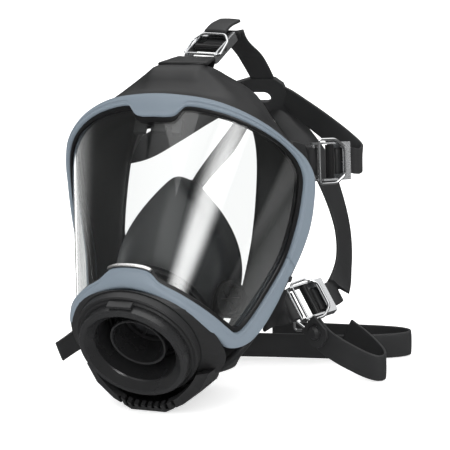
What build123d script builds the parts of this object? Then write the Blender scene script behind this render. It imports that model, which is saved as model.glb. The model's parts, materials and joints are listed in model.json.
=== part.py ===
from build123d import *
import math
import os

os.makedirs("parts", exist_ok=True)

# ----------------------------------------------------------------------------
# Full face respirator, millimetres, +Z up, facing -Y, standing on its
# exhalation cover with the harness and neck straps behind it.
# ----------------------------------------------------------------------------

# ---- driving dimensions ----------------------------------------------------
datum_x, datum_y, datum_z = -8.693, -8.521, 99.0  # lens-cone datum above the floor
cone_tilt = 45.26            # lean of the lens cone's axis, degrees
cone_r0 = 75.0               # lens outer radius at the datum
cone_slope = 0.336           # lens radius gained per mm of height
lens_t = 2.6                 # lens thickness
lens_top, lens_bottom = 38.5, -78.5
frame_out, frame_in = 4.2, -6.4   # frame skin outside and inside the lens surface
port_tilt = 28.87            # port axis below the horizontal, degrees
port_y, port_z = -82.12, -55.92   # centre of the port mouth from the datum
port_bore_r = 26.0
port_rim_r = 36.5
sleeve_r = 18.0
strap_t = 2.2
strap_w = 17.0
face_lean = 17.0             # lean of the face opening, degrees
wall = 3.0                   # face-blank wall

# ---- frames of reference ---------------------------------------------------
ct, st = math.cos(math.radians(cone_tilt)), math.sin(math.radians(cone_tilt))
cp, sp = math.cos(math.radians(port_tilt)), math.sin(math.radians(port_tilt))
datum = Vector(datum_x, datum_y, datum_z)
xM, yM, zM = Vector(1, 0, 0), Vector(0, ct, -st), Vector(0, st, ct)
cone_rz = Plane(origin=datum, x_dir=xM, z_dir=-yM)      # radius, height
cone_side = Plane(origin=datum, x_dir=yM, z_dir=xM)     # depth, height
cone_front = cone_rz
cone_axis = Axis(datum, zM)
port_origin = datum + Vector(0, port_y, port_z)
port_dir = Vector(0, -cp, -sp)
port_plane = Plane(origin=port_origin, x_dir=Vector(1, 0, 0), z_dir=port_dir)
port_rz = Plane(origin=port_origin, x_dir=Vector(1, 0, 0), z_dir=Vector(0, sp, -cp))
port_axis = Axis(port_origin, port_dir)


def at(x, y, z):
    return datum + Vector(x, y, z)


def cone_r(z):
    return cone_r0 + cone_slope * z


def face_point(x, s, d):
    a = math.radians(face_lean)
    return at(x, 8 + s * math.sin(a) + d * math.cos(a), s * math.cos(a) - d * math.sin(a))


def save(builder, name):
    builder.part.label = name
    export_step(builder.part, "parts/" + name + ".step")


def cone_ring(z0, z1, inner, outer):
    return [(cone_r(z0) + inner, z0), (cone_r(z0) + outer, z0),
            (cone_r(z1) + outer, z1), (cone_r(z1) + inner, z1)]


# side outlines (depth y, height z) in the cone frame, front is -y
edge_rear = [(-37, 31.0), (-27, 25.5), (-18, 15), (-8, 0), (2, -18.5), (5, -42), (4.5, -62), (-1, -71)]
opening_side = [(-140, 34.2), (-44, 34.2)] + edge_rear + [(-9, -74.2), (-140, -74.2)]
lens_side = [(-150, lens_top), (-42, lens_top), (-31.5, 34), (-22.5, 26.5), (-13.5, 17), (-3.5, 1),
             (6.5, -17.5), (9.2, -42), (8.7, -63), (3.0, -75), (-6, lens_bottom), (-56, -73.2), (-150, -63.4)]
gasket_side = [(-150, 33.0), (-45, 33.0), (-38.5, 30), (-28.5, 24.5), (-19.5, 14), (-9.5, -1),
               (.5, -19), (3.5, -42), (3.0, -61.5), (-2.2, -69.8), (-10, -73), (-56, -69.0), (-150, -60.8)]
frame_side = [(-140, 41.3), (-40, 41.3), (-25.8, 37.8), (-15.8, 29.2), (-7.2, 18.6), (2.3, 2.6),
              (11.8, -16.5), (14.3, -42), (13.8, -65), (7.3, -80.8), (-10, -83.9), (-56, -77.3), (-140, -65.0)]

# ---- lens ------------------------------------------------------------------
with BuildPart() as lens:
    with BuildSketch(cone_rz):
        with BuildLine():
            Polyline(*cone_ring(lens_bottom - 3, lens_top + 3, -lens_t, 0), close=True)
        make_face()
    revolve(axis=cone_axis)
    with BuildSketch(cone_side):
        with BuildLine():
            Polyline(*lens_side, close=True)
        make_face()
    extrude(amount=130, both=True, mode=Mode.INTERSECT)
save(lens, "lens")

# ---- gasket: rubber channel round the lens edge ------------------------------
with BuildPart() as gasket:
    with BuildSketch(cone_rz):
        with BuildLine():
            Polyline(*cone_ring(-85, 45, -lens_t - 1.6, 1.6), close=True)
        make_face()
    revolve(axis=cone_axis)
    with BuildSketch(cone_side):
        with BuildLine():
            Polyline((-160, 39.6), (-41.4, 39.6), (-30.4, 35), (-21.3, 27.3), (-12.3, 17.5), (-2.2, 1.4),
                     (7.8, -17.2), (10.5, -42), (10.0, -63.6), (3.8, -76.1), (-6, -79.7), (-56, -74.6), (-160, -64.0), close=True)
        make_face()
    extrude(amount=130, both=True, mode=Mode.INTERSECT)
    with BuildSketch(cone_side):
        with BuildLine():
            Polyline(*gasket_side, close=True)
        make_face()
    extrude(amount=130, both=True, mode=Mode.SUBTRACT)
    add(lens.part, mode=Mode.SUBTRACT)
save(gasket, "lens_gasket")

# ---- clamp frame: two halves that meet at a seam on each side ----------------
seam_z = -14.0
upper_side = [(-140, 41.0), (-40, 41.0), (-26, 37.5), (-16, 29), (-7.5, 18.5), (2.0, 2.5), (10.0, seam_z + .15),
              (-0.4, seam_z + .15), (-8, 0), (-18, 15), (-27, 25.5), (-37, 31.0), (-44, 34.2), (-140, 34.2)]
lower_side = [(-140, -63.6), (-56, -70.6), (-9, -74.4), (-1, -71), (4.5, -62), (5, -42), (2, -18.5), (-0.4, seam_z - .15),
              (10.0, seam_z - .15), (11.5, -16.5), (14.0, -42), (13.5, -65), (7, -80.5), (-10, -83.6), (-56, -77.0), (-140, -65.0)]
seat_side = [(-160, 39.6), (-41.4, 39.6), (-30.4, 35), (-21.3, 27.3), (-12.3, 17.5), (-2.2, 1.4),
             (7.8, -17.2), (10.5, -42), (10.0, -63.6), (3.8, -76.1), (-6, -79.7), (-56, -74.6), (-160, -64.0)]
with BuildPart() as lens_seat:
    with BuildSketch(cone_rz):
        with BuildLine():
            Polyline(*cone_ring(-95, 55, -lens_t - 1.6, 1.6), close=True)
        make_face()
    revolve(axis=cone_axis)
    with BuildSketch(cone_side):
        with BuildLine():
            Polyline(*seat_side, close=True)
        make_face()
    extrude(amount=140, both=True, mode=Mode.INTERSECT)
with BuildPart() as top_tab:
    with BuildSketch(cone_rz):
        with BuildLine():
            Polyline(*cone_ring(22, 38, 1.75, frame_out), close=True)
        make_face()
    revolve(axis=cone_axis)
    with BuildSketch(cone_front):
        with BuildLine():
            Polyline((-16, 35.5), (16, 35.5), (11, 26), (-11, 26), close=True)
        make_face()
    extrude(amount=130, mode=Mode.INTERSECT)
with BuildPart() as bottom_tab:
    with BuildSketch(cone_rz):
        with BuildLine():
            Polyline(*cone_ring(-78, -60, 1.75, frame_out), close=True)
        make_face()
    revolve(axis=cone_axis)
    with BuildSketch(cone_front):
        with BuildLine():
            Polyline((-19, -75.5), (19, -75.5), (9.5, -64.5), (-9.5, -64.5), close=True)
        make_face()
    extrude(amount=130, mode=Mode.INTERSECT)
with BuildPart() as seam_lug_upper:
    with BuildSketch(Plane(origin=datum + zM * (seam_z + .15), x_dir=xM, z_dir=zM)):
        with Locations((70.5, 13.6), (-70.5, 13.6)):
            Rectangle(8.4, 8.2)
    extrude(amount=5.85)
with BuildPart() as seam_lug_lower:
    with BuildSketch(Plane(origin=datum + zM * -20.0, x_dir=xM, z_dir=zM)):
        with Locations((70.5, 13.6), (-70.5, 13.6)):
            Rectangle(8.4, 8.2)
    extrude(amount=5.85)
with BuildPart() as seam_holes:
    with BuildSketch(Plane(origin=datum + zM * -30, x_dir=xM, z_dir=zM)):
        with Locations((70.5, 14.4), (-70.5, 14.4)):
            Circle(1.55)
    extrude(amount=32)


with BuildPart() as lens_frame_upper:
    with BuildSketch(cone_rz):
        with BuildLine():
            Polyline(*cone_ring(-20, 50, frame_in, frame_out), close=True)
        make_face()
    revolve(axis=cone_axis)
    with BuildSketch(cone_side):
        with BuildLine():
            Polyline(*upper_side, close=True)
        make_face()
    extrude(amount=130, both=True, mode=Mode.INTERSECT)
    add(seam_lug_upper.part)
    add(lens_seat.part, mode=Mode.SUBTRACT)
    add(top_tab.part)
    add(seam_holes.part, mode=Mode.SUBTRACT)
save(lens_frame_upper, "lens_frame_upper")
with BuildPart() as lens_frame_lower:
    with BuildSketch(cone_rz):
        with BuildLine():
            Polyline(*cone_ring(-90, -10, frame_in, frame_out), close=True)
        make_face()
    revolve(axis=cone_axis)
    with BuildSketch(cone_side):
        with BuildLine():
            Polyline(*lower_side, close=True)
        make_face()
    extrude(amount=130, both=True, mode=Mode.INTERSECT)
    add(seam_lug_lower.part)
    add(lens_seat.part, mode=Mode.SUBTRACT)
    add(bottom_tab.part)
    add(seam_holes.part, mode=Mode.SUBTRACT)
    with BuildSketch(port_plane.offset(-9)):
        Circle(34.8)
    extrude(amount=14, mode=Mode.SUBTRACT)
    with BuildSketch(port_plane.offset(-25)):
        Circle(28.7)
    extrude(amount=17, mode=Mode.SUBTRACT)
    with BuildSketch(Plane(origin=datum + zM * -22.6, x_dir=xM, z_dir=zM)):
        with Locations((70.5, 14.4), (-70.5, 14.4)):
            RegularPolygon(3.15, 6)
    extrude(amount=2.6, mode=Mode.SUBTRACT)
save(lens_frame_lower, "lens_frame_lower")

# ---- port group, all on the port axis (sketch: radius, distance outwards) ----
with BuildPart() as port_ring:
    with BuildSketch(port_rz):
        with BuildLine():
            Polyline((port_bore_r, -24), (28.4, -24), (28.4, -8.2), (34.5, -8.2), (34.5, 4.0), (33.6, 5.0),
                     (30.8, 5.0), (30.2, 4.4), (26.6, 0.6), (port_bore_r, -0.4), close=True)
        make_face()
    revolve(axis=port_axis)
save(port_ring, "port_ring")
with BuildPart() as port_lock_ring:
    with BuildSketch(port_rz):
        with BuildLine():
            Polyline((34.6, -8.2), (38.7, -8.2), (38.7, -3.4), (38.0, -2.6), (36.6, -2.6), (35.8, -1.6), (34.6, -1.6),
                     close=True)
        make_face()
    revolve(axis=port_axis)
    with BuildSketch(port_plane.offset(-1.8)):
        with Locations((0, 35.7)):
            Rectangle(15.5, 1.9)
    extrude(amount=4.6)
save(port_lock_ring, "port_lock_ring")
with BuildPart() as port_gasket:
    with BuildSketch(port_rz):
        with Locations((24.4, -21.8)):
            Circle(1.5)
    revolve(axis=port_axis)
save(port_gasket, "port_gasket")
with BuildPart() as port_sleeve:
    with BuildSketch(port_rz):
        with BuildLine():
            Polyline((sleeve_r - 0.8, -27), (sleeve_r - 0.8, -24.8), (sleeve_r - 1.6, -24.8), (sleeve_r - 1.6, -5.6), (sleeve_r - 1.0, -5), (sleeve_r - .4, -5),
                     (sleeve_r, -5.6), (sleeve_r, -24.05), (28.4, -24.05), (28.4, -27), close=True)
        make_face()
    revolve(axis=port_axis)
save(port_sleeve, "port_sleeve")
with BuildPart() as inhalation_valve_seat:
    with BuildSketch(port_plane.offset(-27)):
        Circle(sleeve_r - 0.9)
        Circle(sleeve_r - 4.2, mode=Mode.SUBTRACT)
        Circle(3.2)
        with PolarLocations(0, 3):
            Rectangle(2 * (sleeve_r - 3), 1.8)
    extrude(amount=2.2)
    with BuildSketch(port_plane.offset(-31.6)):
        Circle(1.0)
    extrude(amount=4.8)
    with BuildSketch(port_plane.offset(-32.6)):
        Circle(2.0)
    extrude(amount=1.0)
save(inhalation_valve_seat, "inhalation_valve_seat")
with BuildPart() as inhalation_valve_disc:
    with BuildSketch(port_plane.offset(-28.05)):
        Circle(sleeve_r - 2.4)
        Circle(1.3, mode=Mode.SUBTRACT)
    extrude(amount=1.0)
save(inhalation_valve_disc, "inhalation_valve_disc")


# ---- component housing -------------------------------------------------------
def rim_section(scale, drop):
    c9, s9 = math.cos(math.radians(8.9)), math.sin(math.radians(8.9))
    pts = []
    for i in range(48):
        a = 2 * math.pi * i / 48
        x = (50.2 + scale) * math.sin(a)
        y = -(50.2 + scale) * math.cos(a) if math.cos(a) > 0 else -(35.0 + scale) * math.cos(a)
        y -= 2.5
        z = -85.8 - 0.1566 * y - drop
        pts.append(datum + Vector(x, 0, 0) + yM * y + zM * z)
    return pts


def port_circle(r, z):
    pts = []
    for i in range(48):
        a = 2 * math.pi * i / 48
        # the port plane's up is the front of the rim
        pts.append(port_plane.from_local_coords((r * math.sin(a), r * math.cos(a), z)))
    return pts


def ring_face(pts):
    return Face(Wire.make_polygon(pts, close=True))


def skin(sections, mode=Mode.ADD):
    """Straight-sided loft through matching rings of points."""
    loft([ring_face(p) for p in sections], ruled=True, mode=mode)


def cover_section(y, drop, half):
    pts = [(-41 * half, -72.0), (-34.5 * half, -83.5 + drop), (-23.5 * half, -93.0 + drop), (-11.5 * half, -99.0 + drop),
           (11.5 * half, -99.0 + drop), (23.5 * half, -93.0 + drop), (34.5 * half, -83.5 + drop), (41 * half, -72.0)]
    return [at(x, y, z) for x, z in pts]


with BuildPart() as housing_outer:
    skin([rim_section(0, 0), port_circle(39.6, -8.4)])
with BuildPart() as cover_outer:
    skin([cover_section(-74, 9.0, .80), cover_section(-66, 0.0, 1.0), cover_section(-36, 0.0, 1.0),
          cover_section(-22, 10.0, .84)])

# exhalation valve axis: down and a little forward
ex_tilt = 10.0
ce, se = math.cos(math.radians(ex_tilt)), math.sin(math.radians(ex_tilt))
ex_origin = at(0, -37.5, -81.0)
ex_dir = Vector(0, -se, -ce)
ex_plane = Plane(origin=ex_origin, x_dir=Vector(1, 0, 0), z_dir=ex_dir)
ex_rz = Plane(origin=ex_origin, x_dir=Vector(1, 0, 0), z_dir=Vector(0, ce, -se))
ex_axis = Axis(ex_origin, ex_dir)

with BuildPart() as component_housing:
    skin([rim_section(0, 0), port_circle(39.6, -8.4)])
    skin([rim_section(-3.2, -3.0), port_circle(36.0, -11.6)], mode=Mode.SUBTRACT)
    with BuildSketch(port_plane.offset(-31)):
        Circle(31.8)
        Circle(28.6, mode=Mode.SUBTRACT)
    extrude(amount=20.5)
    with BuildSketch(port_plane.offset(-31)):
        Circle(28.6)
    extrude(amount=40, mode=Mode.SUBTRACT)
    with BuildSketch(ex_plane.offset(-4)):
        Circle(15.7)
    extrude(amount=30, mode=Mode.SUBTRACT)
    with BuildSketch(port_plane.offset(-31)):
        with Locations((0, -30)):
            Rectangle(26, 14)
    extrude(amount=18, mode=Mode.SUBTRACT)
    add(lens_frame_lower.part, mode=Mode.SUBTRACT)
    add(gasket.part, mode=Mode.SUBTRACT)
save(component_housing, "component_housing")

with BuildPart() as housing_collar:
    with BuildSketch(port_plane.offset(-38)):
        Circle(31.7)
        Circle(28.9, mode=Mode.SUBTRACT)
    extrude(amount=6.9)
    with BuildSketch(port_plane.offset(-38)):
        Circle(34.5)
        Circle(31.6, mode=Mode.SUBTRACT)
    extrude(amount=5)
save(housing_collar, "housing_collar")
with BuildPart() as speech_diaphragm:
    with BuildSketch(port_plane.offset(-36.2)):
        Circle(27.5)
    extrude(amount=0.5)
    for r in (10, 16, 22):
        with BuildSketch(port_plane.offset(-35.7)):
            Circle(r + .7)
            Circle(r - .7, mode=Mode.SUBTRACT)
        extrude(amount=0.5)
save(speech_diaphragm, "speech_diaphragm")
with BuildPart() as speech_diaphragm_ring:
    with BuildSketch(port_plane.offset(-37.8)):
        Circle(28.8)
        Circle(24.8, mode=Mode.SUBTRACT)
    extrude(amount=1.6)
    with BuildSketch(port_plane.offset(-37.8)):
        Circle(28.8)
        Circle(27.6, mode=Mode.SUBTRACT)
    extrude(amount=2.6)
save(speech_diaphragm_ring, "speech_diaphragm_ring")

# exhalation valve
with BuildPart() as exhalation_valve_seat:
    with BuildSketch(ex_plane.offset(-3.4)):
        Circle(15.6)
        Circle(11.6, mode=Mode.SUBTRACT)
    extrude(amount=3.4)
    with BuildSketch(ex_plane.offset(-3.4)):
        with PolarLocations(0, 3):
            Rectangle(2 * 11.8, 1.6)
        Circle(2.6)
    extrude(amount=1.6)
save(exhalation_valve_seat, "exhalation_valve_seat")
with BuildPart() as exhalation_valve_disc:
    with BuildSketch(ex_plane.offset(0.05)):
        Circle(13.6)
    extrude(amount=1.3)
    with BuildSketch(ex_plane.offset(1.35)):
        Circle(4.2)
    extrude(amount=1.4)
save(exhalation_valve_disc, "exhalation_valve_disc")
with BuildPart() as exhalation_spring:
    with BuildLine():
        Helix(pitch=1.9, height=5.1, radius=5.4, center=(0, 0, 0))
    with BuildSketch(Plane(origin=(5.4, 0, 0), z_dir=(0, 1, 0.056))):
        Circle(0.4)
    sweep(is_frenet=True)
with BuildPart() as exhalation_spring_set:
    with Locations(ex_plane.offset(1.9).location):
        add(exhalation_spring.part)
save(exhalation_spring_set, "exhalation_spring")

with BuildPart() as exhalation_cover:
    skin([cover_section(-74, 9.0, .80), cover_section(-66, 0.0, 1.0), cover_section(-36, 0.0, 1.0),
          cover_section(-22, 10.0, .84)])
    # hollow chamber
    skin([[at(x, y, z) for x, z in ((-36 * h, -70), (-31.5 * h, -83 + d), (-21.5 * h, -90.6 + d), (-10 * h, -96 + d),
                                    (10 * h, -96 + d), (21.5 * h, -90.6 + d), (31.5 * h, -83 + d), (36 * h, -70))]
          for y, d, h in ((-71, 9.0, .78), (-64, 0.5, 1.0), (-37, 0.5, 1.0), (-25, 9.5, .82))], mode=Mode.SUBTRACT)
    add(housing_outer.part, mode=Mode.SUBTRACT)
    with BuildSketch(port_plane.offset(-40)):
        Circle(39.8)
    extrude(amount=60, mode=Mode.SUBTRACT)
    # everything above the housing's rim plane stays with the mask
    with BuildSketch(Plane(origin=datum + zM * -84.4, x_dir=xM, z_dir=zM)):
        Circle(150)
    extrude(amount=80, mode=Mode.SUBTRACT)
    # vent slots: front row and side louvres
    with BuildSketch(Plane.XZ.offset(-(datum_y - 62))):
        with Locations((datum_x, datum_z - 93.2)):
            with GridLocations(4.4, 1, 9, 1):
                Rectangle(2.0, 6.4)
    extrude(amount=16, mode=Mode.SUBTRACT)
    with BuildSketch(Plane.YZ.offset(datum_x - 60)):
        with Locations((datum_y - 48, datum_z - 86.5)):
            with GridLocations(6.2, 1, 4, 1):
                Rectangle(2.6, 9.0, rotation=-28)
    extrude(amount=120, mode=Mode.SUBTRACT)
save(exhalation_cover, "exhalation_cover")
with BuildPart() as spring_retainer:
    with BuildSketch(ex_plane.offset(7.6)):
        Circle(7.4)
    extrude(amount=1.6)
    with BuildSketch(ex_plane.offset(9.2)):
        Circle(3.0)
    extrude(amount=5.0)
    with BuildSketch(ex_plane.offset(8.2)):
        Rectangle(40, 3.0)
    extrude(amount=1.6)
save(spring_retainer, "spring_retainer")


# ---- rubber face blank -------------------------------------------------------
# how far the flanks stand out at each height, for depths -50, -20, 0, 20, 40 and 60:
# they draw in behind the visor frame's edge, and the crown narrows to a raised centre panel
flank_depths = (-50, -20, 0, 20, 40, 60)
flank_rows = [
    (-90, 50.0, 39.2, 31.4, 26.6, 23.0, 21.0),
    (-75, 50.0, 42.7, 38.4, 36.2, 33.8, 30.0),
    (-60, 62.0, 55.1, 51.6, 47.9, 44.1, 39.5),
    (-45, 73.0, 65.6, 61.2, 56.6, 52.0, 47.3),
    (-30, 81.0, 73.6, 69.0, 64.4, 59.7, 55.0),
    (-15, 89.0, 81.4, 76.7, 72.0, 67.1, 61.5),
    (0, 95.0, 88.3, 82.7, 77.1, 71.5, 65.5),
    (15, 98.0, 92.3, 86.3, 80.1, 74.1, 67.8),
    (30, 98.0, 94.6, 88.2, 81.8, 75.4, 69.0),
    (45, 98.0, 93.0, 86.0, 77.4, 68.5, 60.0),
    (60, 75.0, 70.0, 72.6, 63.3, 55.0, 47.0),
    (70, 67.0, 60.0, 63.5, 54.5, 47.5, 40.0),
    (80, 58.0, 52.0, 57.9, 49.8, 41.1, 34.0),
    (88, 47.0, 41.5, 44.0, 43.8, 34.6, 27.0),
    (92, 40.0, 34.0, 36.5, 40.1, 28.4, 20.0),
    (96, 30.0, 27.0, 31.5, 31.5, 20.0, 12.0),
    (100, 24.0, 23.0, 27.4, 22.0, 14.0, 10.0),
    (104, 18.0, 18.0, 22.1, 17.0, 12.0, 10.0),
    (108, 14.0, 14.0, 16.0, 14.0, 10.0, 10.0),
]


def between(v, xs, ys):
    if v <= xs[0]:
        return ys[0]
    for i in range(1, len(xs)):
        if v <= xs[i]:
            t = (v - xs[i - 1]) / (xs[i] - xs[i - 1])
            return ys[i - 1] * (1 - t) + ys[i] * t
    return ys[-1]


def flank(s, d):
    a = math.radians(face_lean)
    y, z = 8 + s * math.sin(a) + d * math.cos(a), s * math.cos(a) - d * math.sin(a)
    return between(z, [r[0] for r in flank_rows], [between(y, flank_depths, r[1:]) for r in flank_rows]) - 0.6


def face_section(d, hw, top, bottom, n=2.3, narrow=0.18, inset=0.0, count=40):
    pts = []
    for i in range(count):
        a = 2 * math.pi * (i + 0.5) / count
        c, v = math.cos(a), math.sin(a)
        x = (hw - inset) * abs(c) ** (2 / n) * (1 if c > 0 else -1)
        reach = (top - inset) if v > 0 else (bottom - inset)
        q = reach * abs(v) ** (2 / n) * (1 if v > 0 else -1)
        x *= 1 - narrow * max(0.0, -q / bottom)
        limit = flank(q, d) - inset
        x = max(-limit, min(limit, x))
        pts.append(face_point(x, q, d))
    return pts


blank_rows = [(-60, 40, 84, 44), (-46, 60, 99, 60), (-30, 74, 105, 74), (-14, 82, 103, 84), (2, 77, 98, 88),
              (14, 71, 96, 92), (22, 66, 92, 90)]
with BuildPart() as face_seal_lip:
    skin([face_section(-6, 44.5, 76, 76, n=3.4), face_section(8, 54, 84, 82, n=2.8), face_section(22.2, 66.2, 92.2, 90.2)])
    skin([face_section(-4.2, 42.5, 74, 74, n=3.4), face_section(10.4, 54, 84, 82, n=2.8), face_section(24.8, 66.2, 92.2, 90.2)],
         mode=Mode.SUBTRACT)
    skin([face_section(-30, 42.5, 74, 74, n=3.4), face_section(0, 42.5, 74, 74, n=3.4)], mode=Mode.SUBTRACT)
print("lip", face_seal_lip.part.volume, len(face_seal_lip.solids()))
save(face_seal_lip, "face_seal_lip")

with BuildPart() as face_blank:
    skin([face_section(*r) for r in blank_rows])
    skin([face_section(r[0], r[1], r[2], r[3], inset=wall) for r in
          [(-61.5, 38, 80, 42)] + [(r[0] + 1.5 * (i < 2), r[1], r[2], r[3]) for i, r in enumerate(blank_rows)][1:6]
          + [(23, 65.5, 91.5, 89.5)]], mode=Mode.SUBTRACT)
    with BuildSketch(cone_side):
        with BuildLine():
            Polyline(*frame_side, close=True)
        make_face()
    extrude(amount=130, both=True, mode=Mode.SUBTRACT)
    add(cover_outer.part, mode=Mode.SUBTRACT)
    add(housing_outer.part, mode=Mode.SUBTRACT)
    # nothing lies in front of and below the rim of the housing
    with BuildSketch(cone_side):
        with BuildLine():
            Polyline((-140, -60), (-140, -140), (30, -140), (30, -88.5), (0, -84), (-10, -84), close=True)
        make_face()
    extrude(amount=130, both=True, mode=Mode.SUBTRACT)
    with BuildSketch(Plane(origin=datum + zM * -24, x_dir=xM, z_dir=zM)):
        with Locations((70.5, 13.6), (-70.5, 13.6)):
            Rectangle(9.2, 9.2)
    extrude(amount=18.5, mode=Mode.SUBTRACT)
    with BuildSketch(port_plane.offset(-45)):
        Circle(36.5)
    extrude(amount=36, mode=Mode.SUBTRACT)
    skin([face_section(-7.5, 45.5, 77, 77, n=3.4), face_section(8, 54.2, 84.2, 82.2, n=2.8), face_section(26, 67.8, 94, 92)],
         mode=Mode.SUBTRACT)
    with BuildSketch(ex_plane.offset(-9)):
        Circle(15.7)
    extrude(amount=12, mode=Mode.SUBTRACT)
    add(face_seal_lip.part, mode=Mode.SUBTRACT)
print("blank", face_blank.part.volume, [round(v.volume, 1) for v in face_blank.solids()], [v.center() for v in face_blank.solids()])
with BuildPart() as face_blank_body:
    add(face_blank.solids().sort_by(SortBy.VOLUME)[-1])
save(face_blank_body, "face_blank")


# ---- nose cup ----------------------------------------------------------------
def cup_section(d, apex, hw, bottom, inset=0.0, count=36):
    # pear outline: narrow rounded bridge above, wide round chin below
    pts = []
    mid = apex - 0.62 * (apex + bottom)
    for i in range(count):
        a = 2 * math.pi * (i + 0.5) / count
        c, v = math.cos(a), math.sin(a)
        if v > 0:
            q = mid + (apex - inset - mid) * v
            x = (hw - inset) * c * (1 - 0.58 * v * v)
        else:
            q = mid + (bottom - inset + mid) * v
            x = (hw - inset) * c
        pts.append(face_point(x, q, d))
    return pts


with BuildPart() as nose_cup:
    skin([cup_section(-54, -24, 17, 56), cup_section(-46, -3, 27, 62), cup_section(-35, 25, 34, 71), cup_section(-20, 31, 38.2, 73),
          cup_section(-7.6, 31, 39.5, 70)])
    skin([cup_section(-52, -24, 17, 56, 2.2), cup_section(-45, -3, 27, 62, 2.2), cup_section(-34, 25, 34, 71, 2.2),
          cup_section(-20, 31, 38.2, 73, 2.2), cup_section(-7.5, 31, 39.5, 70, 2.2)], mode=Mode.SUBTRACT)
    # open below, over the collar of the housing
    with BuildSketch(port_plane.offset(-34.6)):
        Rectangle(160, 160)
    extrude(amount=60, mode=Mode.SUBTRACT)
    with BuildSketch(port_plane.offset(-39.5)):
        Circle(34.5)
    extrude(amount=30, mode=Mode.SUBTRACT)
print("cup", nose_cup.part.volume, len(nose_cup.solids()))
save(nose_cup, "nose_cup")


def locked(p, q, r):
    """Plane from an origin, a direction along local x and a rough normal."""
    x = Vector(*q).normalized()
    n = Vector(*r)
    n = (n - x * n.dot(x)).normalized()
    return Plane(origin=at(*p), x_dir=x, z_dir=n)


# ---- nose-cup check valves, one on each cheek of the cup ---------------------
cup_valves = {"left": locked((37.5, -25.0, -36.0), (-0.45, -0.85, 0.1), (0.89, -0.44, 0.12)),
              "right": locked((-37.5, -25.0, -36.0), (0.45, -0.85, 0.1), (-0.89, -0.44, 0.12))}
with BuildPart() as check_seat:
    with BuildSketch(Plane.XY.offset(-4.0)):
        Circle(11.8)
        Circle(8.8, mode=Mode.SUBTRACT)
    extrude(amount=8.0)
    with BuildSketch(Plane.XY.offset(0.6)):
        with PolarLocations(0, 3):
            Rectangle(18.4, 1.4)
        Circle(2.2)
    extrude(amount=1.4)
    with BuildSketch(Plane.XY.offset(-3.8)):
        Circle(0.9)
    extrude(amount=5)
    with BuildSketch(Plane.XY.offset(-4.4)):
        Circle(1.6)
    extrude(amount=0.8)
with BuildPart() as check_disc:
    with BuildSketch(Plane.XY.offset(-0.35)):
        Circle(8.3)
        Circle(1.2, mode=Mode.SUBTRACT)
    extrude(amount=0.8)
with BuildPart() as nose_cup_valved:
    add(nose_cup.part)
    for side in cup_valves:
        with BuildSketch(cup_valves[side].offset(-14)):
            Circle(11.8)
        extrude(amount=26, mode=Mode.SUBTRACT)
save(nose_cup_valved, "nose_cup")
with BuildPart() as nose_cup_valve_seats:
    with Locations(cup_valves["left"].location, cup_valves["right"].location):
        add(check_seat.part)
save(nose_cup_valve_seats, "nose_cup_valve_seats")
for side in cup_valves:
    with BuildPart() as placed:
        with Locations(cup_valves[side].location):
            add(check_disc.part)
    save(placed, "nose_cup_valve_disc_" + side)

# ---- roller buckles: local x along the strap, y across, z away from the mask ---
buckle_planes = {
    "top": locked((2, 46, 114), (.22, .80, .50), (-.1, -.5, .85)),
    "temple_left": locked((78, 59, 40), (.62, .78, -.05), (.78, -.62, .1)),
    "temple_right": locked((-78, 59, 40), (-.62, .78, -.05), (-.78, -.62, .1)),
    "cheek_left": locked((64, 56, -54.3), (.55, .75, .1), (.5, -.6, .6)),
    "cheek_right": locked((-64, 56, -54.3), (-.55, .75, .1), (-.5, -.6, .6)),
}
with BuildPart() as buckle_frame:
    with BuildSketch(Plane.XZ.offset(-12.5)):
        with BuildLine():
            Polyline((-13.4, -1.6), (-11, -2.2), (14.4, -2.2), (14.4, 4.2), (4, 4.2), (-7, 4.4), (-11.2, 3.8),
                     (-13.4, 1.6), close=True)
        make_face()
    extrude(amount=1.2)
    with BuildSketch(Plane.XZ.offset(11.3)):
        with BuildLine():
            Polyline((-13.4, -1.6), (-11, -2.2), (14.4, -2.2), (14.4, 4.2), (4, 4.2), (-7, 4.4), (-11.2, 3.8),
                     (-13.4, 1.6), close=True)
        make_face()
    extrude(amount=1.2)
    with BuildSketch(Plane.XY.offset(3.1)):
        with Locations((11.3, 0)):
            Rectangle(6.2, 25)
    extrude(amount=1.1)
    with BuildSketch(Plane.XY.offset(-2.2)):
        with Locations((9.6, 0)):
            Rectangle(9.6, 25)
    extrude(amount=1.0)
    with BuildSketch(Plane.XZ.offset(-11.6)):
        with Locations((-12.0, 0)):
            Circle(1.3)
    extrude(amount=23.2)
    with BuildSketch(Plane.XZ.offset(-14)):
        with Locations((0, 1.0)):
            Circle(1.55)
        with Locations((-9, 2.6)):
            Circle(0.96)
    extrude(amount=28, mode=Mode.SUBTRACT)
with BuildPart() as buckle_roller:
    with BuildSketch(Plane.XZ.offset(-10.8)):
        with Locations((0, 1.0)):
            Circle(2.9)
            with PolarLocations(2.95, 12):
                Circle(0.42, mode=Mode.SUBTRACT)
    extrude(amount=21.6)
    with BuildSketch(Plane.XZ.offset(-12.4)):
        with Locations((0, 1.0)):
            Circle(1.5)
    extrude(amount=24.8)
loop_slope = math.atan(0.2)
loop_plane = Plane(origin=(-9, 0, 2.6), x_dir=(math.cos(loop_slope), 0, math.sin(loop_slope)),
                   z_dir=(-math.sin(loop_slope), 0, math.cos(loop_slope)))
with BuildPart() as buckle_loop:
    with BuildLine(loop_plane):
        FilletPolyline((0, 0), (0, 14.4), (11.5, 14.4), (18.0, 9.0), (18.0, 0), radius=[1.7, 5.5, 5.5])
    with BuildSketch(Plane(origin=loop_plane.origin, x_dir=(1, 0, 0), z_dir=(0, 1, 0))):
        Circle(0.9)
    sweep()
    mirror(about=Plane.XZ)
print("loop", buckle_loop.part.volume, len(buckle_loop.solids()))
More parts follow.
